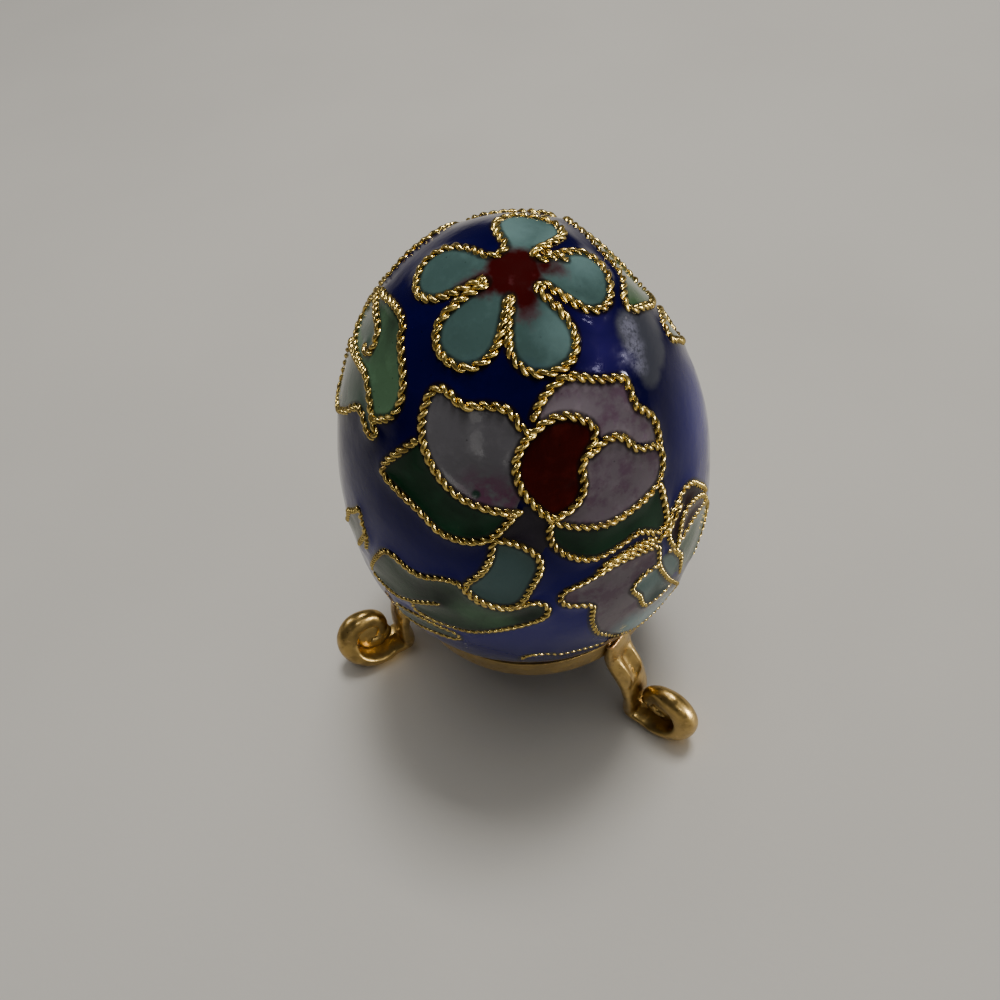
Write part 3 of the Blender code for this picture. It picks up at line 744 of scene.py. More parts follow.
def spots_of(motif, *places):
    """Spots (x, y, radius) in millimetres of a motif, wherever it stands, as (point, radius)."""
    return [(pressed(MotifFrame(bearing, arc).lay([(x, y)])[0]), radius * MM)
            for _, other, bearing, arc in MOTIFS if other is motif for x, y, radius in places]


def places_of(*spots):
    """Spots given as (bearing, arc, radius), the last two in millimetres, as (point, radius)."""
    return [(pressed(egg_points(bearing, arc * MM)), radius * MM) for bearing, arc, radius in spots]


def scaled(colour, amount):
    """Colour made lighter or darker."""
    return tuple(min(1.0, value * amount) for value in colour)


# Name of the stored nearness to the wires, which paints shade and some real oxide beside them
WIRE_SHADE_AND_OXIDE = "soot"
GLASS_IOR = 1.26
THIN_GLASS_IOR = 1.12

# Colours painted on the glass, as linear colours: stains, and some painted light and shade
# Painted shade beside the wires, partly real oxide and thicker glass
SHADE_AND_OXIDE_BLACK = (0.010, 0.006, 0.004)
COBALT_GLEAM = (0.62, 0.60, 1.0, 1.0)
# Painted side light on the ground
SIDE_LIGHT_COBALT = (0.022, 0.010, 0.40)
CROWN_COBALT = (0.034, 0.019, 0.19)
DEEP_COBALT = (0.008, 0.006, 0.065)
GREY_PATCH_TINT = (0.088, 0.094, 0.118)
PALE_MOTTLE_TINT = (0.42, 0.42, 0.58)
SPECK_GREY = (0.30, 0.30, 0.36)
PALE_TURQUOISE = (0.170, 0.300, 0.300)
BUD_TURQUOISE = (0.095, 0.190, 0.200)
RIM_BLUE = (0.02, 0.06, 0.22)
BLEED_RED = (0.085, 0.030, 0.040)
RUST_RED = (0.050, 0.002, 0.002)
WISP_RED = (0.20, 0.05, 0.06)
THIN_GARNET = (0.12, 0.012, 0.008)
CLOUD_PURPLE = (0.15, 0.075, 0.135)
CLOUD_PINK = (0.24, 0.15, 0.24)
PALE_BLUE = (0.20, 0.42, 0.47)
SMOKE_PURPLE = (0.14, 0.045, 0.10)
SPOT_GREEN = (0.01, 0.05, 0.03)
CLOUD_GREEN = (0.012, 0.08, 0.035)
LIGHT_GREEN = (0.012, 0.075, 0.032)
FOLD_GREEN = (0.004, 0.012, 0.008)
LIT_GREEN = (0.078, 0.190, 0.092)
CROWN_GREY = (0.022, 0.028, 0.020)
GRASS_GREEN = (0.060, 0.130, 0.050)
PIT_GREEN = (0.02, 0.05, 0.03)

# Heights between which the ground turns to a lighter blue, painted side light, and then darker again towards
# the bottom
SIDE_LIGHT_LEVELS = (33.0 * MM, 20.0 * MM)
DEEP_LEVELS = (25.0 * MM, 16.0 * MM)


def glass(name, colour, roughness, mottle, mottle_size, ior):
    """Fired glass: cloudy colour, pin holes and a polished, slightly wavy skin."""
    made = Finish(name, colour, roughness, ior=ior)
    made.blotch(scaled(colour, 0.7), mottle, 0.35, 0.7, 2.6)
    made.blotch(scaled(colour, 1.5), mottle, 0.48, 0.72, mottle_size, 4.0, 0.65)
    made.blotch(scaled(colour, 0.75), 0.6 * mottle, 0.55, 0.75, 0.22)
    made.speckle(scaled(colour, 0.3), 0.6, 0.8, 0.09, 0.04)
    made.dull(made.slope(made.cloud(1.3, 3.0), 0.45, 0.75), roughness + 0.12)
    made.relief(0.02, 0.9)
    return made


def tone_cobalt(made):
    """Ground colour with a painted side light, brighter and deeper places, one grey patch with pale mottles
    and pale specks.
    """
    made.put(made.shader, {"Specular Tint": COBALT_GLEAM})
    # Painted side light: a lighter blue spot on the egg's right side
    made.stain(places_of((72, 17.0, 3.0)), SIDE_LIGHT_COBALT, 0.95, 4.0)
    made.stain(places_of((38, 7.4, 1.0), (44, 6.4, 0.6)), CROWN_COBALT, 0.9, 1.8)
    made.paint(made.slope(made.level(), *DEEP_LEVELS), DEEP_COBALT, 0.9)
    # A grey patch with pale mottles in it, and a smoother skin there
    patch = made.near(places_of((58, 7.9, 1.1), (67, 8.9, 1.1), (60, 9.4, 1.3), (53, 10.0, 0.9)), 0.3, 0.1)
    pale = made.near(places_of((57, 7.7, 0.5), (53, 8.5, 0.6), (50, 9.3, 0.4)), 0.5, 0.12)
    mottle = made.slope(made.cloud(0.25, 4.0, 0.7), 0.3, 0.6)
    made.paint(patch, GREY_PATCH_TINT, 0.9)
    made.paint(made.maths("MULTIPLY", pale, mottle), PALE_MOTTLE_TINT, 0.65)
    made.dull(patch, 0.08)
    made.speckle(SPECK_GREY, 0.8, 2.7, 0.045, 0.02)


def tone_turquoise(made):
    """Petals with the dark red that ran out of the crown flower's middle."""
    pale = spots_of(top_flower, (0.2, 3.2, 1.9), (3.4, 1.0, 1.9), (1.6, -3.4, 1.2))
    made.stain(pale, PALE_TURQUOISE, 0.85, 1.2, 0.3)
    made.stain(spots_of(spray, (-4.3, 3.2, 1.8)), BUD_TURQUOISE, 0.7, 1.0)
    low = spots_of(spray, (4.4, -1.2, 1.4)) + spots_of(layered_bud, (-2.2, -3.0, 1.4))
    made.stain(low, PALE_TURQUOISE, 0.85, 0.6, 0.2)
    blue_rims = spots_of(top_flower, (-1.0, -5.2, 0.7), (-3.4, -4.3, 0.9), (1.9, -5.0, 0.5))
    made.stain(blue_rims, RIM_BLUE, 0.7, 0.7, 0.2)
    middle = spots_of(top_flower, (0.0, 0.0, 1.4), (-1.5, -0.1, 0.7), (0.1, -1.4, 0.65), (1.5, -0.1, 0.5))
    edge = spots_of(top_flower, (-2.3, 0.05, 0.5), (2.2, -0.25, 0.45), (0.0, -2.2, 0.55))
    bleed = made.near(middle + edge, 0.4, 0.3)
    made.paint(bleed, BLEED_RED, 0.8)
    made.stain(middle, RUST_RED, 1.0, 0.3, 0.3, 0.9)
    wisps = made.maths("MULTIPLY", bleed, made.slope(made.cloud(0.8, 3.0), 0.6, 0.8))
    made.paint(wisps, WISP_RED, 0.5)


def tone_garnet(made):
    """Nearly black red, lighter where it is thin."""
    made.blotch(THIN_GARNET, 0.7, 0.5, 0.75, 1.1, 3.0)


def tone_lilac(made):
    """Purple clouds and a pale blue lower end."""
    made.blotch(CLOUD_PURPLE, 0.75, 0.45, 0.65, 1.5, 4.0, 0.65)
    made.blotch(CLOUD_PINK, 0.6, 0.55, 0.75, 0.5, 4.0, 0.7)
    ends = spots_of(spray, (3.4, -5.6, 1.2), (4.6, -6.2, 1.6), (6.0, -6.6, 1.5))
    made.stain(ends, PALE_BLUE, 0.9, 1.2, 0.2)


def tone_smoke(made):
    """Purple mottling at the petal's lower end."""
    low = made.near(spots_of(peony, (-3.0, -0.8, 1.1), (-2.0, -0.9, 0.9), (-3.5, -0.2, 0.6)), 0.9, 0.25)
    mottle = made.slope(made.cloud(0.5, 3.0), 0.3, 0.6)
    made.paint(made.maths("MULTIPLY", low, mottle), SMOKE_PURPLE, 0.85)
    made.stain(spots_of(peony, (-3.6, -0.6, 0.22)), SPOT_GREEN, 0.9, 0.1, 0.05)


def tone_leaf(made):
    """Dark bottle green, lighter in clouds and along the right leaf."""
    made.blotch(CLOUD_GREEN, 0.6, 0.45, 0.7, 2.0)
    made.stain(spots_of(peony, (3.2, -5.1, 1.2), (5.4, -4.6, 1.4)), LIGHT_GREEN, 0.8, 0.8, 0.2)


def tone_sea(made):
    """Grey green, darkest beside the long leaf's fold and at its tip, and lit between them."""
    dark = spots_of(scroll_leaf, (-0.3, -1.4, 0.9), (0.8, -1.3, 0.8), (5.7, -1.5, 0.6), (-5.8, 0.6, 1.4))
    made.stain(dark, FOLD_GREEN, 0.85, 1.2, 0.3)
    made.stain(spots_of(scroll_leaf, (2.8, -2.1, 1.0), (4.1, -2.5, 0.9)), LIT_GREEN, 0.85, 0.9, 0.3)


def tone_mint(made):
    """Pale green that darkens towards the crown, with tiny dark pits."""
    made.stain(spots_of(side_flower, (-0.6, 3.2, 1.0), (-3.0, 2.6, 1.0)), CROWN_GREY, 0.9, 2.0, 0.3)
    made.stain(spots_of(twin_leaves, (0.0, 0.0, 4.0)), GRASS_GREEN, 0.85, 1.0)
    made.speckle(PIT_GREEN, 0.7, 0.55, 0.12, 0.06)


# Each enamel's clouds, as strength and size, its index of refraction and what
# is its own. The small quiet cells have nothing of their own.
ENAMELS = {
    "cobalt": (0.45, 1.6, GLASS_IOR, tone_cobalt),
    "turquoise": (0.35, 0.9, GLASS_IOR, tone_turquoise),
    "garnet": (0.5, 0.9, GLASS_IOR, tone_garnet),
    "lilac": (0.35, 0.9, GLASS_IOR, tone_lilac),
    "smoke": (0.3, 0.9, GLASS_IOR, tone_smoke),
    "leaf": (0.5, 0.9, GLASS_IOR, tone_leaf),
    "sea": (0.35, 0.9, GLASS_IOR, tone_sea),
    "mint": (0.3, 0.9, GLASS_IOR, tone_mint),
    "moss": (0.45, 0.9, GLASS_IOR, None),
    "dusk": (0.45, 0.9, GLASS_IOR, None),
    "plum": (0.45, 0.9, THIN_GLASS_IOR, None),
}


def enamel_finishes(settings):
    """Every enamel by its name in the motifs, darkened along the wires by painted shade and some real oxide.
    """
    finishes = {}
    for name, (mottle, mottle_size, ior, tone) in ENAMELS.items():
        made = glass(name + "_enamel", getattr(settings, name), settings.gloss, mottle, mottle_size, ior)
        if name == "cobalt":
            # Painted side light: the ground turns a lighter blue low on the egg's sides
            made.paint(made.slope(made.level(), *SIDE_LIGHT_LEVELS), settings.side_lit_cobalt, 0.9)
        if tone:
            tone(made)
        # Painted shade beside the wires, partly real oxide and thicker glass
        made.paint(made.slope(made.stored(WIRE_SHADE_AND_OXIDE), 0.3, 0.95), SHADE_AND_OXIDE_BLACK, 0.8)
        finishes[name] = made.done()
    return finishes


# Each metal's roughness, its colours where it is tarnished and where it is
# worn, and the depth, size and detail of its unevenness
METALS = {
    "gilt_wire": (0.2, (0.20, 0.13, 0.04), (0.66, 0.40, 0.18), 0.012, 0.12, 3.0),
    "ring_brass": (0.34, (0.18, 0.12, 0.045), (0.48, 0.30, 0.12), 0.015, 0.25, 4.0),
    "leg_brass": (0.29, (0.16, 0.105, 0.035), (0.60, 0.40, 0.16), 0.03, 0.5, 4.0),
    "braze": (0.34, (0.30, 0.15, 0.06), (0.70, 0.45, 0.18), 0.03, 0.2, 4.0),
}
RING_SHADE = 0.52
LEG_SHADE = 0.71
PORE_BROWN = (0.10, 0.05, 0.02)


def metal(name, colour):
    """Old yellow metal, tarnished in patches and rubbed in others."""
    roughness, tarnish, worn, *relief = METALS[name]
    made = Finish(name, colour, roughness, metallic=1.0)
    made.blotch(tarnish, 0.6, 0.45, 0.7, 1.2, 3.0)
    made.blotch(worn, 0.5, 0.56, 0.72, 0.45, 3.0, 0.6)
    made.dull(made.slope(made.cloud(0.6, 4.0), 0.4, 0.7), roughness + 0.16)
    made.relief(*relief)
    return made


def cast_brass(settings):
    """Cast brass, brighter on what is rubbed and dark in its pores."""
    made = metal("leg_brass", scaled(settings.brass, LEG_SHADE))
    made.speckle(PORE_BROWN, 0.7, 0.7, 0.12, 0.05)
    return made.done()


def floor_finish(settings):
    """Plain pale paper, barely uneven."""
    made = Finish("floor", settings.floor, 0.85)
    made.blotch(scaled(settings.floor, 0.93), 0.6, 0.35, 0.7, 40.0, 3.0)
    made.relief(0.02, 0.8, 3.0)
    return made.done()


# Enamel

def zipped(start, count, shift, next_start, next_count, next_shift):
    """Triangles between two rings of points, the first nearer the apex."""
    reached = (np.arange(1, count + 1) + shift) / count
    next_reached = (np.arange(1, next_count + 1) + next_shift) / next_count
    order = np.argsort(np.concatenate([reached, next_reached]), kind="stable")
    upper = order < count
    a = np.cumsum(upper) - upper
    b = np.cumsum(~upper) - ~upper
    third = np.where(upper, start + (a + 1) % count, next_start + (b + 1) % next_count)
    return np.stack([start + a % count, next_start + b % next_count, third], -1)


FEWEST_ROUND = 6


def enamel_shell(spacing):
    """Evenly staggered points on the egg and the triangles that join them."""
    rows = round(EGG_ARC / spacing)
    points = [egg_points(np.zeros(1), np.zeros(1))]
    triangles = []
    start = 1
    last = None
    for row in range(1, rows):
        arc = EGG_ARC * row / rows
        count = max(FEWEST_ROUND, round(math.tau * float(np.interp(arc, ARC, RADIUS)) / spacing))
        shift = 0.5 * (row % 2)
        turns = 360.0 * (np.arange(count) + shift) / count
        points.append(egg_points(turns, np.full(count, arc)))
        if last:
            triangles.append(zipped(*last, start, count, shift))
        else:
            ring = start + np.arange(count)
            triangles.append(np.stack([np.zeros(count, int), ring, np.roll(ring, -1)], -1))
        last = (start, count, shift)
        start += count
    points.append(egg_points(np.zeros(1), np.full(1, EGG_ARC)))
    ring = last[0] + np.arange(last[1])
    triangles.append(np.stack([np.full(last[1], start), np.roll(ring, -1), ring], -1))
    return np.concatenate(points), np.concatenate(triangles)


def wire_distance(points):
    """Distance from each point to the nearest wire's centre line."""
    lines = np.concatenate([line for piece in LINES.values() for _, line in piece])
    tree = kdtree.KDTree(len(lines))
    for i, point in enumerate(lines):
        tree.insert(point, i)
    tree.balance()
    return np.array([tree.find(point)[2] for point in points])


def inside(flat, polygon):
    """Which flat points lie in a polygon."""
    ends = np.roll(polygon, -1, axis=0)
    x, y = flat[:, :1], flat[:, 1:]
    spans = (polygon[:, 1] > y) != (ends[:, 1] > y)
    rise = ends[:, 1] - polygon[:, 1]
    run = (y - polygon[:, 1]) * (ends[:, 0] - polygon[:, 0])
    crossing = polygon[:, 0] + run / np.where(rise == 0.0, 1.0, rise)
    return (spans & (x < crossing)).sum(1) % 2 == 1


def enamel_of(centres, names):
    """Index in names of the enamel at each point."""
    found = np.zeros(len(centres), int)
    for _, motif, bearing, arc in MOTIFS:
        flat, facing = MotifFrame(bearing, arc).flatten(centres)
        for enamel, _, corners, *closing in motif():
            if enamel:
                polygon = outline(sum(closing, corners), True)
                close = facing & (flat > polygon.min(0)).all(1) & (flat < polygon.max(0)).all(1)
                chosen = np.nonzero(close)[0]
                found[chosen[inside(flat[chosen], polygon)]] = names.index(enamel)
    return found


# Where the painted shade and oxide beside a wire start, and how fast they fade
SHADE_AND_OXIDE_START = 0.24 * MM
SHADE_AND_OXIDE_REACH = 0.14 * MM
CLIMB_START = 0.28 * MM
RIPPLE_SIZE = 2.4 * MM
RIPPLE_SEED = 3.1


def build_enamel(settings):
    """One closed glass skin with a colour for every cell."""
    points, triangles = enamel_shell(settings.spacing)
    distance = wire_distance(points)
    climb = settings.climb * np.exp(-np.maximum(0.0, distance - CLIMB_START) / settings.climb_reach)
    ripple = settings.ripple * drift(points, RIPPLE_SIZE, RIPPLE_SEED)
    raised = pressed(points, climb - settings.sag + ripple)
    finishes = enamel_finishes(settings)
    piece = new_piece("enamel", raised, triangles, finishes["cobalt"])
    # Nearness to the wires, kept for the painted shade and oxide beside them
    soot = np.exp(-np.maximum(0.0, distance - SHADE_AND_OXIDE_START) / SHADE_AND_OXIDE_REACH)
    piece.data.attributes.new(WIRE_SHADE_AND_OXIDE, "FLOAT", "POINT").data.foreach_set("value", soot)
    for name, finish in finishes.items():
        if name != "cobalt":
            piece.data.materials.append(finish)
    cells = enamel_of(points[triangles].mean(1), list(finishes))
    piece.data.polygons.foreach_set("material_index", cells.astype(np.int32))
    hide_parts("egg")


# Wires

# A strand's radius and distance from the pair's middle, as shares of the width
STRAND_RADIUS = 0.26
STRAND_OFFSET = 0.24
STRAND_STEP = 0.09 * MM

# How a bent wire strays sideways and up, slips in its twist and swells
SWAY_SIZE = 1.6 * MM
HEAVE_SIZE = 2.2 * MM
HEAVE = 0.8
SLIP_SIZE = 2.0 * MM
SLIP = 1.2
SWELL_SIZE = 1.0 * MM
SWELL = 0.25
PIECE_SEED = 1.7
LINE_SEED = 0.61

# How an open wire ends, in strands that thin out and a bead of solder
END_THICKNESS = 0.55
END_RISE = 0.45
END_STEPS = 2.0
SOLDER_SIZE = 0.52
SOLDER_UNEVEN = 0.12
SOLDER_SHAPE = np.array((1.0, 0.8, 0.55))

# Wires are thinner and lie deeper low on the egg
LOW_WIRES_Z = 27.0 * MM
LOW_WIRES_RUN = 6.0 * MM
GIRTH_HEIGHTS = (18.0 * MM, 36.0 * MM)
GIRTHS = (0.74, 1.02)


def tangents_of(path, closed):
    """Unit directions along a path."""
    if closed:
        return unit(np.roll(path, -1, axis=0) - np.roll(path, 1, axis=0))
    ahead = np.concatenate([path[1:], path[-1:]])
    behind = np.concatenate([path[:1], path[:-1]])
    return unit(ahead - behind)


def tube(path, toward, closed, radius, sides):
    """Round rod along a path as points and faces."""
    along = tangents_of(path, closed)
    first = unit(toward - (toward * along).sum(1, keepdims=True) * along)
    second = np.cross(along, first)
    turn = math.tau * np.arange(sides) / sides
    rings = (path[:, None] + radius[:, None, None] * (np.cos(turn)[None, :, None] * first[:, None]
             + np.sin(turn)[None, :, None] * second[:, None]))
    return rings.reshape(-1, 3), band_faces(len(path), sides, closed)


def twist(clay, line, closed, settings, seed):
    """Add one twisted pair of strands along a centre line."""
    centre = evenly(line, closed, STRAND_STEP)
    normals = egg_normals(centre)
    sideways = unit(np.cross(normals, tangents_of(centre, closed)))
    sway = drift(centre, SWAY_SIZE, seed)
    heave = drift(centre, HEAVE_SIZE, seed + 4.0)
    centre = centre + sideways * (settings.wander * sway)[:, None]
    depth = wire_depth(settings, centre) + egg_flat(normals)
    centre += normals * (HEAVE * settings.wander * heave - depth)[:, None]
    girth = np.interp(centre[:, 2], GIRTH_HEIGHTS, GIRTHS)
    turned_by = np.cumsum(STRAND_STEP / (settings.pitch * girth))
    if closed:
        turned_by *= max(1, round(turned_by[-1])) / turned_by[-1]
    phase = math.tau * turned_by + SLIP * drift(centre, SLIP_SIZE, seed + 9.0)
    swell = 1.0 + SWELL * drift(centre, SWELL_SIZE, seed + 13.0)
    thick = STRAND_RADIUS * settings.width * girth * swell
    if not closed:
        places = np.arange(len(centre))
        taper = np.minimum(places, places[::-1]) / END_STEPS
        thick *= np.clip(END_THICKNESS + END_RISE * taper, END_THICKNESS, 1.0)
    for strand in (0.0, math.pi):
        around = np.cos(phase + strand)[:, None] * sideways + np.sin(phase + strand)[:, None] * normals
        path = centre + around * (STRAND_OFFSET * settings.width * girth)[:, None]
        clay.add(*tube(path, around, closed, thick, settings.sides))


def wire_depth(settings, points):
    """How deep wires lie at points of the true egg, deeper low down where they are rubbed."""
    low = np.clip((LOW_WIRES_Z - points[..., 2]) / LOW_WIRES_RUN, 0.0, 1.0)
    return settings.sink + settings.low_sink * low


def solder_ends(clay, line, settings, seed):
    """Add a small run of solder at both ends of an open wire."""
    for k, point in enumerate((line[0], line[-1])):
        normal = egg_normals(point)
        along = unit(line[3] - line[0] if k == 0 else line[-1] - line[-4])
        across = np.cross(normal, along)
        girth = float(np.interp(point[2], GIRTH_HEIGHTS, GIRTHS))
        size = settings.width * girth * (SOLDER_SIZE + SOLDER_UNEVEN * math.sin(7.0 * seed + k))
        middle = pressed(point, -wire_depth(settings, point))
        clay.add(*lump(middle, size * SOLDER_SHAPE, (along, across, normal), seed))


def build_wires(settings):
    """Every motif's wires as one piece."""
    finish = metal("gilt_wire", settings.gilt).done()
    for number, (name, lines) in enumerate(LINES.items()):
        clay = Clay()
        for k, (closed, line) in enumerate(lines):
            seed = PIECE_SEED * number + LINE_SEED * k
            twist(clay, line, closed, settings, seed)
            if not closed:
                solder_ends(clay, line, settings, seed)
        clay.piece(name, finish, "gilt_wire")


# Stand

RING_SEGMENTS = 288
RING_EDGE = 0.09 * MM
EDGE_STEPS = 4
LIP_WIDTH = 0.3 * MM
LIP_RISE = 0.03 * MM
RING_UNEVEN = 0.0012
RING_WAVE = 4.0 * MM
RING_SEED = 5.0


def rounded(corners):
    """Outline with each corner eased by a small curve."""
    points = []
    for i, corner in enumerate(corners):
        corner = np.array(corner)
        start = corner + RING_EDGE * unit(np.array(corners[i - 1]) - corner)
        end = corner + RING_EDGE * unit(np.array(corners[(i + 1) % len(corners)]) - corner)
        for step in range(EDGE_STEPS + 1):
            share = step / EDGE_STEPS
            points.append((1 - share) ** 2 * start + 2 * share * (1 - share) * corner + share ** 2 * end)
    return np.array(points)


def build_ring(settings):
    """Turned ring that the egg sits in."""
    outer = RING_OUTER
    inner = outer - settings.ring_wall
    bottom = RING_LOW.z
    top = bottom + settings.ring_height
    seat = EGG_WAIST_Z - EGG_BASE * math.sqrt(1.0 - (inner / EGG_RADIUS) ** 2)
    lip = (inner + LIP_WIDTH, top + LIP_RISE)
    profile = rounded(((inner, bottom), (outer, bottom), (outer, top), lip, (inner, seat)))
    turns = math.tau * np.arange(RING_SEGMENTS) / RING_SEGMENTS
    flat = np.stack([np.cos(turns), np.sin(turns)], -1)[:, None] * profile[None, :, :1]
    level = np.broadcast_to(profile[None, :, 1:], (*flat.shape[:2], 1))
    points = np.concatenate([flat, level], -1).reshape(-1, 3)
    points[:, :2] *= 1.0 + RING_UNEVEN * drift(points, RING_WAVE, RING_SEED)[:, None]
    faces = [face[::-1] for face in band_faces(RING_SEGMENTS, len(profile), True)]
    finish = metal("ring_brass", scaled(settings.brass, RING_SHADE)).done()
    piece = new_piece("ring", points + AXIS, faces, finish)
    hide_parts("stand_ring")


SHANK_DIVISIONS = 12
SCROLL_STEP = 3.0
GUIDE_STEP = 15.0
CASTING_SIZE = 1.3 * MM
CASTING_START = 6.0
LEG_SEED = 2.3
FIRST_LEG_SEED = 0.7
FILLET_RADIUS = 0.1 * MM
FILLET_STEP = 0.22 * MM
FILLET_UNEVEN = 0.55
FILLET_WAVE = 1.0 * MM
FILLET_SIDES = 10


def held(value):
    """Number held between 0 and 1."""
    return min(1.0, max(0.0, value))


def blend_through(rows, share):
    """Smooth value between the two middle rows of four."""
    a, b, c, d = (np.array(row) for row in rows)
    return 0.5 * (2.0 * b + (c - a) * share + (2.0 * a - 5.0 * b + 4.0 * c - d) * share ** 2
                  + (3.0 * b - a - 3.0 * c + d) * share ** 3)


def scroll_stations(reach, step):
    """Path, width, thickness and swell of the foot's scroll, from the heel to its eye."""
    stations = []
    for angle in np.arange(SCROLL_START, SCROLL_END + 0.5 * step, step):
        share = held((angle - SCROLL_OPEN) / (SCROLL_CLOSED - SCROLL_OPEN))
        ease = share * share * (3.0 - 2.0 * share)
        radius = SCROLL_RADIUS + (EYE_RADIUS - SCROLL_RADIUS) * ease
        turn = math.radians(angle)
        toe = math.sin(0.5 * math.radians(angle - SCROLL_START)) ** 2
        stations.append((reach + radius * math.cos(turn), SCROLL_HEIGHT + radius * math.sin(turn),
                         SCROLL_WIDTH + SCROLL_SWELL * toe + (EYE_WIDTH - SCROLL_WIDTH) * ease,
                         SCROLL_THICKNESS - EYE_THINNING * ease,
                         SCROLL_CROWN + (EYE_CROWN - SCROLL_CROWN) * ease))
    return stations


def leg_stations(reach):
    """Whole leg from the ring to the scroll's eye, evenly smoothed."""
    coarse = [tuple(value * MM for value in row) for row in SHANK_MM]
    guide = coarse[:1] + coarse + scroll_stations(reach, GUIDE_STEP)[:2]
    stations = []
    for i in range(1, len(guide) - 2):
        for step in range(SHANK_DIVISIONS):
            stations.append(blend_through(guide[i - 1:i + 3], step / SHANK_DIVISIONS))
    return np.array(stations + [np.array(row) for row in scroll_stations(reach, SCROLL_STEP)])


SECTION_POINTS = 40
SECTION_POWER = 0.7
RIB_PLACE = 0.27
RIB_SPREAD = 0.13
RIB_RISE = 1.0
RIB_HOLLOW = 0.3


def squared(value):
    """Sine or cosine that lingers near its ends, so a round section grows squarer."""
    return np.sign(value) * np.abs(value) ** SECTION_POWER


def leg_section(settings, height, width, thickness, crown):
    """Rounded band with ribs in front and a swelling under face, as (across, out)."""
    turn = math.tau * np.arange(SECTION_POINTS) / SECTION_POINTS
    across = 0.5 * width * squared(np.cos(turn))
    out = 0.5 * thickness * squared(np.sin(turn))
    share = across / width
    ribs = RIB_RISE * np.exp(-((np.abs(share) - RIB_PLACE) / RIB_SPREAD) ** 2)
    ribs -= RIB_HOLLOW * np.exp(-(share / RIB_SPREAD) ** 2)
    face = out / (0.5 * thickness)
    knee = max(0.0, 1.0 - ((height - KNEE_HEIGHT) / KNEE_LENGTH) ** 2)
    swell = crown * np.sqrt(np.maximum(0.0, 1.0 - 4.0 * share ** 2))
    out = out + settings.groove * ribs * knee * np.maximum(face, 0.0)
    return across, out - swell * np.sqrt(np.maximum(-face, 0.0))


def way_of(swing):
    """Directions along and across a leg at the front of the ring."""
    turn = math.radians(swing)
    return np.array([math.sin(turn), -math.cos(turn)]), np.array([math.cos(turn), math.sin(turn)])


def place_leg(swing, out, across, level):
    """Points of a leg standing at the front of the ring."""
    direction, side = way_of(swing)
    flat = np.outer(out, direction) + np.outer(across, side) - (0.0, RING_OUTER)
    return np.column_stack([flat, np.broadcast_to(level, len(flat))])


def turned(points, bearing):
    """Points turned round the egg's axis to a bearing, and set in place."""
    turn = math.radians(bearing)
    x = points[:, 0] * math.cos(turn) - points[:, 1] * math.sin(turn)
    y = points[:, 0] * math.sin(turn) + points[:, 1] * math.cos(turn)
    return np.column_stack([x, y, points[:, 2]]) + AXIS


def risen(out, height):
    """How far up the scroll a place of its path is, 0 on the floor and on the shank."""
    return held((out - LEAN_OUT) / LEAN_RUN) * held((height - LEAN_LOW) / LEAN_RISE)


def leg_rows(settings, swing, reach, lean, slant, seed):
    """Sections of one leg, one row of points each."""
    stations = leg_stations(reach)
    rows = []
    for i, (out, height, width, thickness, crown) in enumerate(stations):
        ahead = np.array([0.0, -1.0])
        if i:
            ahead = unit(stations[min(len(stations) - 1, i + 1)][:2] - stations[i - 1][:2])
        rise = risen(out, height)
        across, proud = leg_section(settings, height, width - abs(slant) * rise, thickness, crown)
        tilt = (lean - 0.5 * slant) * rise
        row = place_leg(swing, out - ahead[1] * proud, across + tilt, height + ahead[0] * proud)
        middle = place_leg(swing, np.full(len(across), out), 0.0 * across + tilt, height)
        wave = settings.casting * drift(row, CASTING_SIZE, seed) * held(i / CASTING_START)
        row = row + unit(row - middle) * wave[:, None]
        row[:, 2] = np.maximum(row[:, 2], 0.0)
        rows.append(row)
    return np.array(rows)


def scroll_web(swing, reach, tilt):
    """Thin cast web that fills the scroll, as points and faces."""
    shape, faces = BALL
    out = reach + WEB_RADIUS * shape[:, 0]
    level = SCROLL_HEIGHT + WEB_RADIUS * shape[:, 1]
    rise = np.array([risen(*place) for place in zip(out, level)])
    return place_leg(swing, out, tilt * rise + WEB_HALF * shape[:, 2], level), faces


def build_legs(settings):
    """Three cast legs with scroll feet, brazed under the ring."""
    finish = cast_brass(settings)
    braze = metal("braze", settings.solder).done()
    for number, (name, (bearing, swing, reach, lean, slant)) in enumerate(LEGS.items()):
        seed = LEG_SEED * number + FIRST_LEG_SEED
        rows = leg_rows(settings, swing, reach, lean, slant, seed)
        clay = Clay()
        clay.add(turned(rows.reshape(-1, 3), bearing), band_faces(len(rows), SECTION_POINTS, False))
        web, faces = scroll_web(swing, reach, lean - 0.5 * slant)
        clay.add(turned(web, bearing), faces)
        piece = clay.piece(name.replace("leg", "cast_leg"), finish, "leg_brass")
        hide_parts(name)
        fillet(name.replace("leg", "braze"), rows[0], bearing, seed, braze)


def fillet(name, root, bearing, seed, finish):
    """Run of brazing metal round a leg's root."""
    path = np.concatenate([root[1:], root[:1]])
    spine = evenly(path, True, FILLET_STEP)
    swell = FILLET_RADIUS * (1.0 + FILLET_UNEVEN * drift(spine, FILLET_WAVE, seed))
    points, faces = tube(spine, unit(spine - spine.mean(0)), True, swell, FILLET_SIDES)
    clay = Clay()
    clay.add(turned(points, bearing), faces)
    clay.piece(name, finish, "leg_brass")


# Stage

VIEW_TILT = 55.8
VIEW_ROLL = 8.7
VIEW_DISTANCE = 54.65 * MM
VIEW_TARGET = Vector(AXIS) + Vector((-1.975, 0.0, 18.475)) * MM
LENS_MM = 27.0
SENSOR_MM = 36.0
VIEW_RANGE = (0.001, 20.0)
FLOOR_HALF = 3.0
PANEL_COLOUR = (1.0, 0.97, 0.92)
ROOM_COLOUR = (1.0, 0.98, 0.95, 1.0)

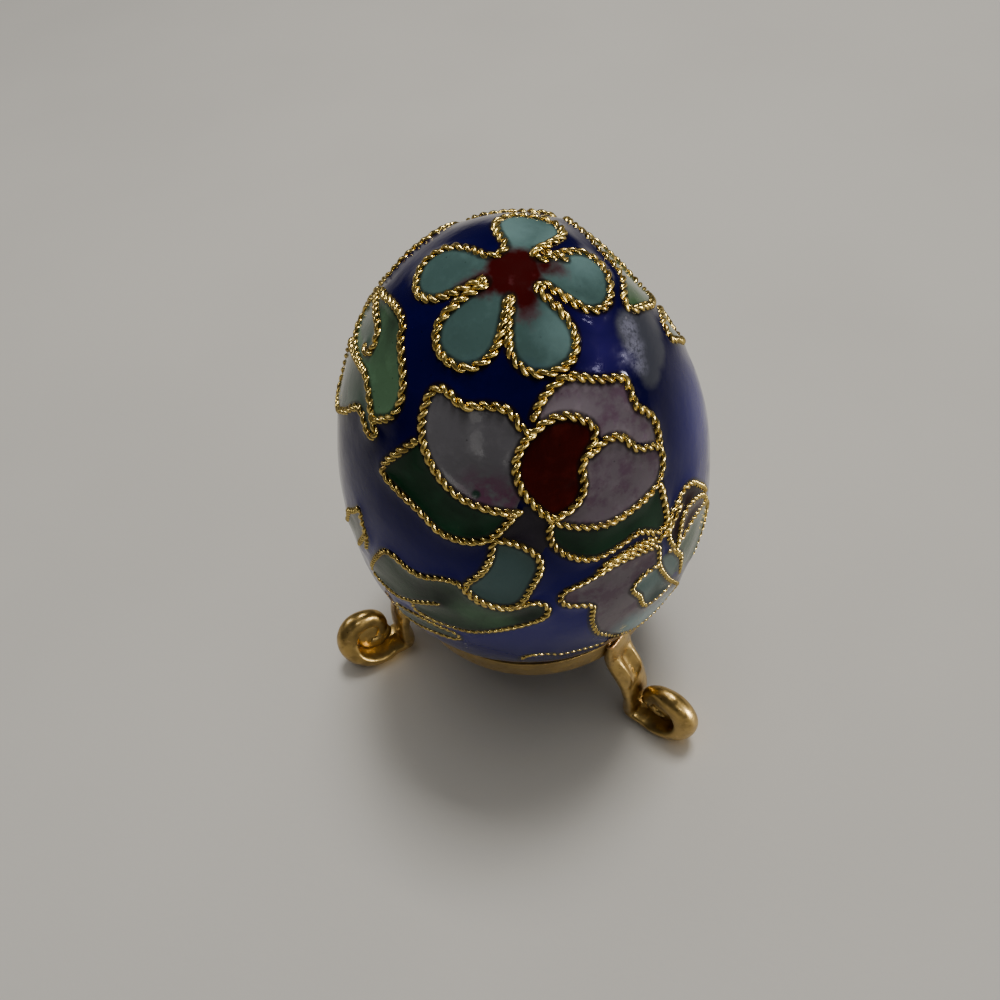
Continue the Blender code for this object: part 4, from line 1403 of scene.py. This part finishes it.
# Soft panels, as bearing, elevation, distance, width, height, power as a share
# of the key, and the pieces that they gleam on and do nothing else. A panel
# with none lights everything and isn't mirrored.
PANELS = {
    "key": (150, 72, 0.34, 0.08, 0.08, 1.0, None),
    "ceiling": (150, 84, 0.60, 0.50, 0.50, 1.9, None),
    "broad sheen": (-32, 17, 0.30, 0.05, 0.05, 0.05, "glass"),
    "right sheen": (84.5, 14.5, 0.30, 0.016, 0.03, 0.5, "glass"),
    "high sheen": (74, 38, 0.30, 0.006, 0.04, 0.05, "glass"),
    "gleam": (150, 60, 0.34, 0.06, 0.06, 2.8, "metal"),
    "side gleam": (61, 7, 0.30, 0.06, 0.08, 2.2, "metal"),
    "left gleam": (-110, 40, 0.30, 0.03, 0.03, 0.4, "metal"),
    "front gleam": (20, 35, 0.34, 0.02, 0.02, 0.25, "metal"),
}


def toward(bearing, elevation):
    """Unit direction from the egg at a bearing and an elevation in degrees."""
    turn = math.radians(bearing)
    rise = math.radians(elevation)
    return Vector((math.sin(turn) * math.cos(rise), -math.cos(turn) * math.cos(rise), math.sin(rise)))


def pieces_called(name, *starts):
    """Collection of the pieces whose names have one of these starts."""
    found = bpy.data.collections.new(name)
    for piece in bpy.data.objects:
        if piece.name.startswith(starts):
            found.objects.link(piece)
    return found


def panel(name, bearing, elevation, distance, width, height, watts, gleams_on):
    """Soft rectangular light aimed at the egg, which may show in some pieces' reflections only."""
    data = bpy.data.lights.new(name, "AREA")
    data.shape = "RECTANGLE"
    data.size = width
    data.size_y = height
    data.energy = watts
    data.color = PANEL_COLOUR
    light = placed(name, data)
    way = toward(bearing, elevation)
    light.location = Vector(AXIS) + Vector((0.0, 0.0, EGG_WAIST_Z)) + way * distance
    light.rotation_euler = way.to_track_quat("Z", "Y").to_euler()
    light.visible_diffuse = gleams_on is None
    light.visible_glossy = gleams_on is not None
    light.light_linking.receiver_collection = gleams_on


def build_room(settings):
    """Dim even light from all around, and the soft panels."""
    world = bpy.data.worlds.new("room")
    world.use_nodes = True
    background = world.node_tree.nodes["Background"]
    background.inputs["Color"].default_value = ROOM_COLOUR
    background.inputs["Strength"].default_value = settings.room
    bpy.context.scene.world = world
    receivers = {
        "metal": pieces_called("metal", "wires", "ring", "cast_leg", "braze"),
        "glass": pieces_called("glass", "enamel"),
    }
    for name, (*place, power, gleams_on) in PANELS.items():
        panel(name, *place, power * settings.key, receivers.get(gleams_on))


def build_camera():
    """Camera at the photo's viewing angle."""
    data = bpy.data.cameras.new("camera")
    data.lens = LENS_MM
    data.sensor_width = SENSOR_MM
    data.clip_start, data.clip_end = VIEW_RANGE
    camera = placed("camera", data)
    tilt = math.radians(VIEW_TILT)
    back = Vector((0.0, -math.cos(tilt), math.sin(tilt)))
    right = Vector((1.0, 0.0, 0.0))
    upward = Vector((0.0, math.sin(tilt), math.cos(tilt)))
    roll = math.radians(VIEW_ROLL)
    image_right = right * math.cos(roll) - upward * math.sin(roll)
    image_up = right * math.sin(roll) + upward * math.cos(roll)
    turn = Matrix((image_right, image_up, back)).transposed()
    camera.matrix_world = Matrix.Translation(VIEW_TARGET + back * VIEW_DISTANCE) @ turn.to_4x4()
    bpy.context.scene.camera = camera


def build_stage(settings):
    """Pale floor, soft lights and the camera."""
    mesh = bpy.data.meshes.new("floor")
    corners = [(FLOOR_HALF * x, FLOOR_HALF * y, 0.0) for x, y in ((-1, -1), (1, -1), (1, 1), (-1, 1))]
    mesh.from_pydata(corners, [], [(0, 1, 2, 3)])
    mesh.materials.append(floor_finish(settings))
    floor = placed("floor", mesh)
    build_room(settings)
    build_camera()


# Operators

class EnamelOperator(bpy.types.Operator):
    """Lay the enamel over the egg, a colour to each cell"""

    bl_idname = "cloisonne.enamel"
    bl_label = "Enamel"

    def execute(self, context):
        build_enamel(context.scene.enamel_settings)
        return {"FINISHED"}


class WiresOperator(bpy.types.Operator):
    """Solder the twisted wires along the motifs"""

    bl_idname = "cloisonne.wires"
    bl_label = "Wires"

    def execute(self, context):
        build_wires(context.scene.wire_settings)
        return {"FINISHED"}


class RingOperator(bpy.types.Operator):
    """Turn the ring that the egg sits in"""

    bl_idname = "cloisonne.ring"
    bl_label = "Ring"

    def execute(self, context):
        build_ring(context.scene.stand_settings)
        return {"FINISHED"}


class LegsOperator(bpy.types.Operator):
    """Cast the three legs and braze them on"""

    bl_idname = "cloisonne.legs"
    bl_label = "Legs"

    def execute(self, context):
        build_legs(context.scene.stand_settings)
        return {"FINISHED"}


class StageOperator(bpy.types.Operator):
    """Set the floor, the lights and the camera"""

    bl_idname = "cloisonne.stage"
    bl_label = "Stage"

    def execute(self, context):
        build_stage(context.scene.stage_settings)
        return {"FINISHED"}


class EggPanel(bpy.types.Panel):
    """Steps and settings of the cloisonne egg"""

    bl_idname = "VIEW3D_PT_cloisonne_egg"
    bl_label = "Cloisonne egg"
    bl_space_type = "VIEW_3D"
    bl_region_type = "UI"
    bl_category = "Egg"

    def draw(self, context):
        for operator, settings_name, _ in STEPS:
            box = self.layout.box()
            box.operator(operator.bl_idname)
            settings = getattr(context.scene, settings_name)
            for key in settings.__annotations__:
                box.prop(settings, key)


STEPS = (
    (EnamelOperator, "enamel_settings", EnamelSettings),
    (WiresOperator, "wire_settings", WireSettings),
    (RingOperator, "stand_settings", StandSettings),
    (LegsOperator, "stand_settings", StandSettings),
    (StageOperator, "stage_settings", StageSettings),
)
SETTINGS = {name: group for _, name, group in STEPS}
CLASSES = (*SETTINGS.values(), *(operator for operator, _, _ in STEPS), EggPanel)


def register():
    """Make the settings, operators and panel known."""
    for made in CLASSES:
        bpy.utils.register_class(made)
    for name, group in SETTINGS.items():
        setattr(bpy.types.Scene, name, PointerProperty(type=group))


def unregister():
    """Take them out again."""
    for name in SETTINGS:
        delattr(bpy.types.Scene, name)
    for made in reversed(CLASSES):
        bpy.utils.unregister_class(made)


def main():
    """Build every piece."""
    register()
    bpy.ops.cloisonne.enamel()
    bpy.ops.cloisonne.wires()
    bpy.ops.cloisonne.ring()
    bpy.ops.cloisonne.legs()
    bpy.ops.cloisonne.stage()


if __name__ == "__main__":
    main()
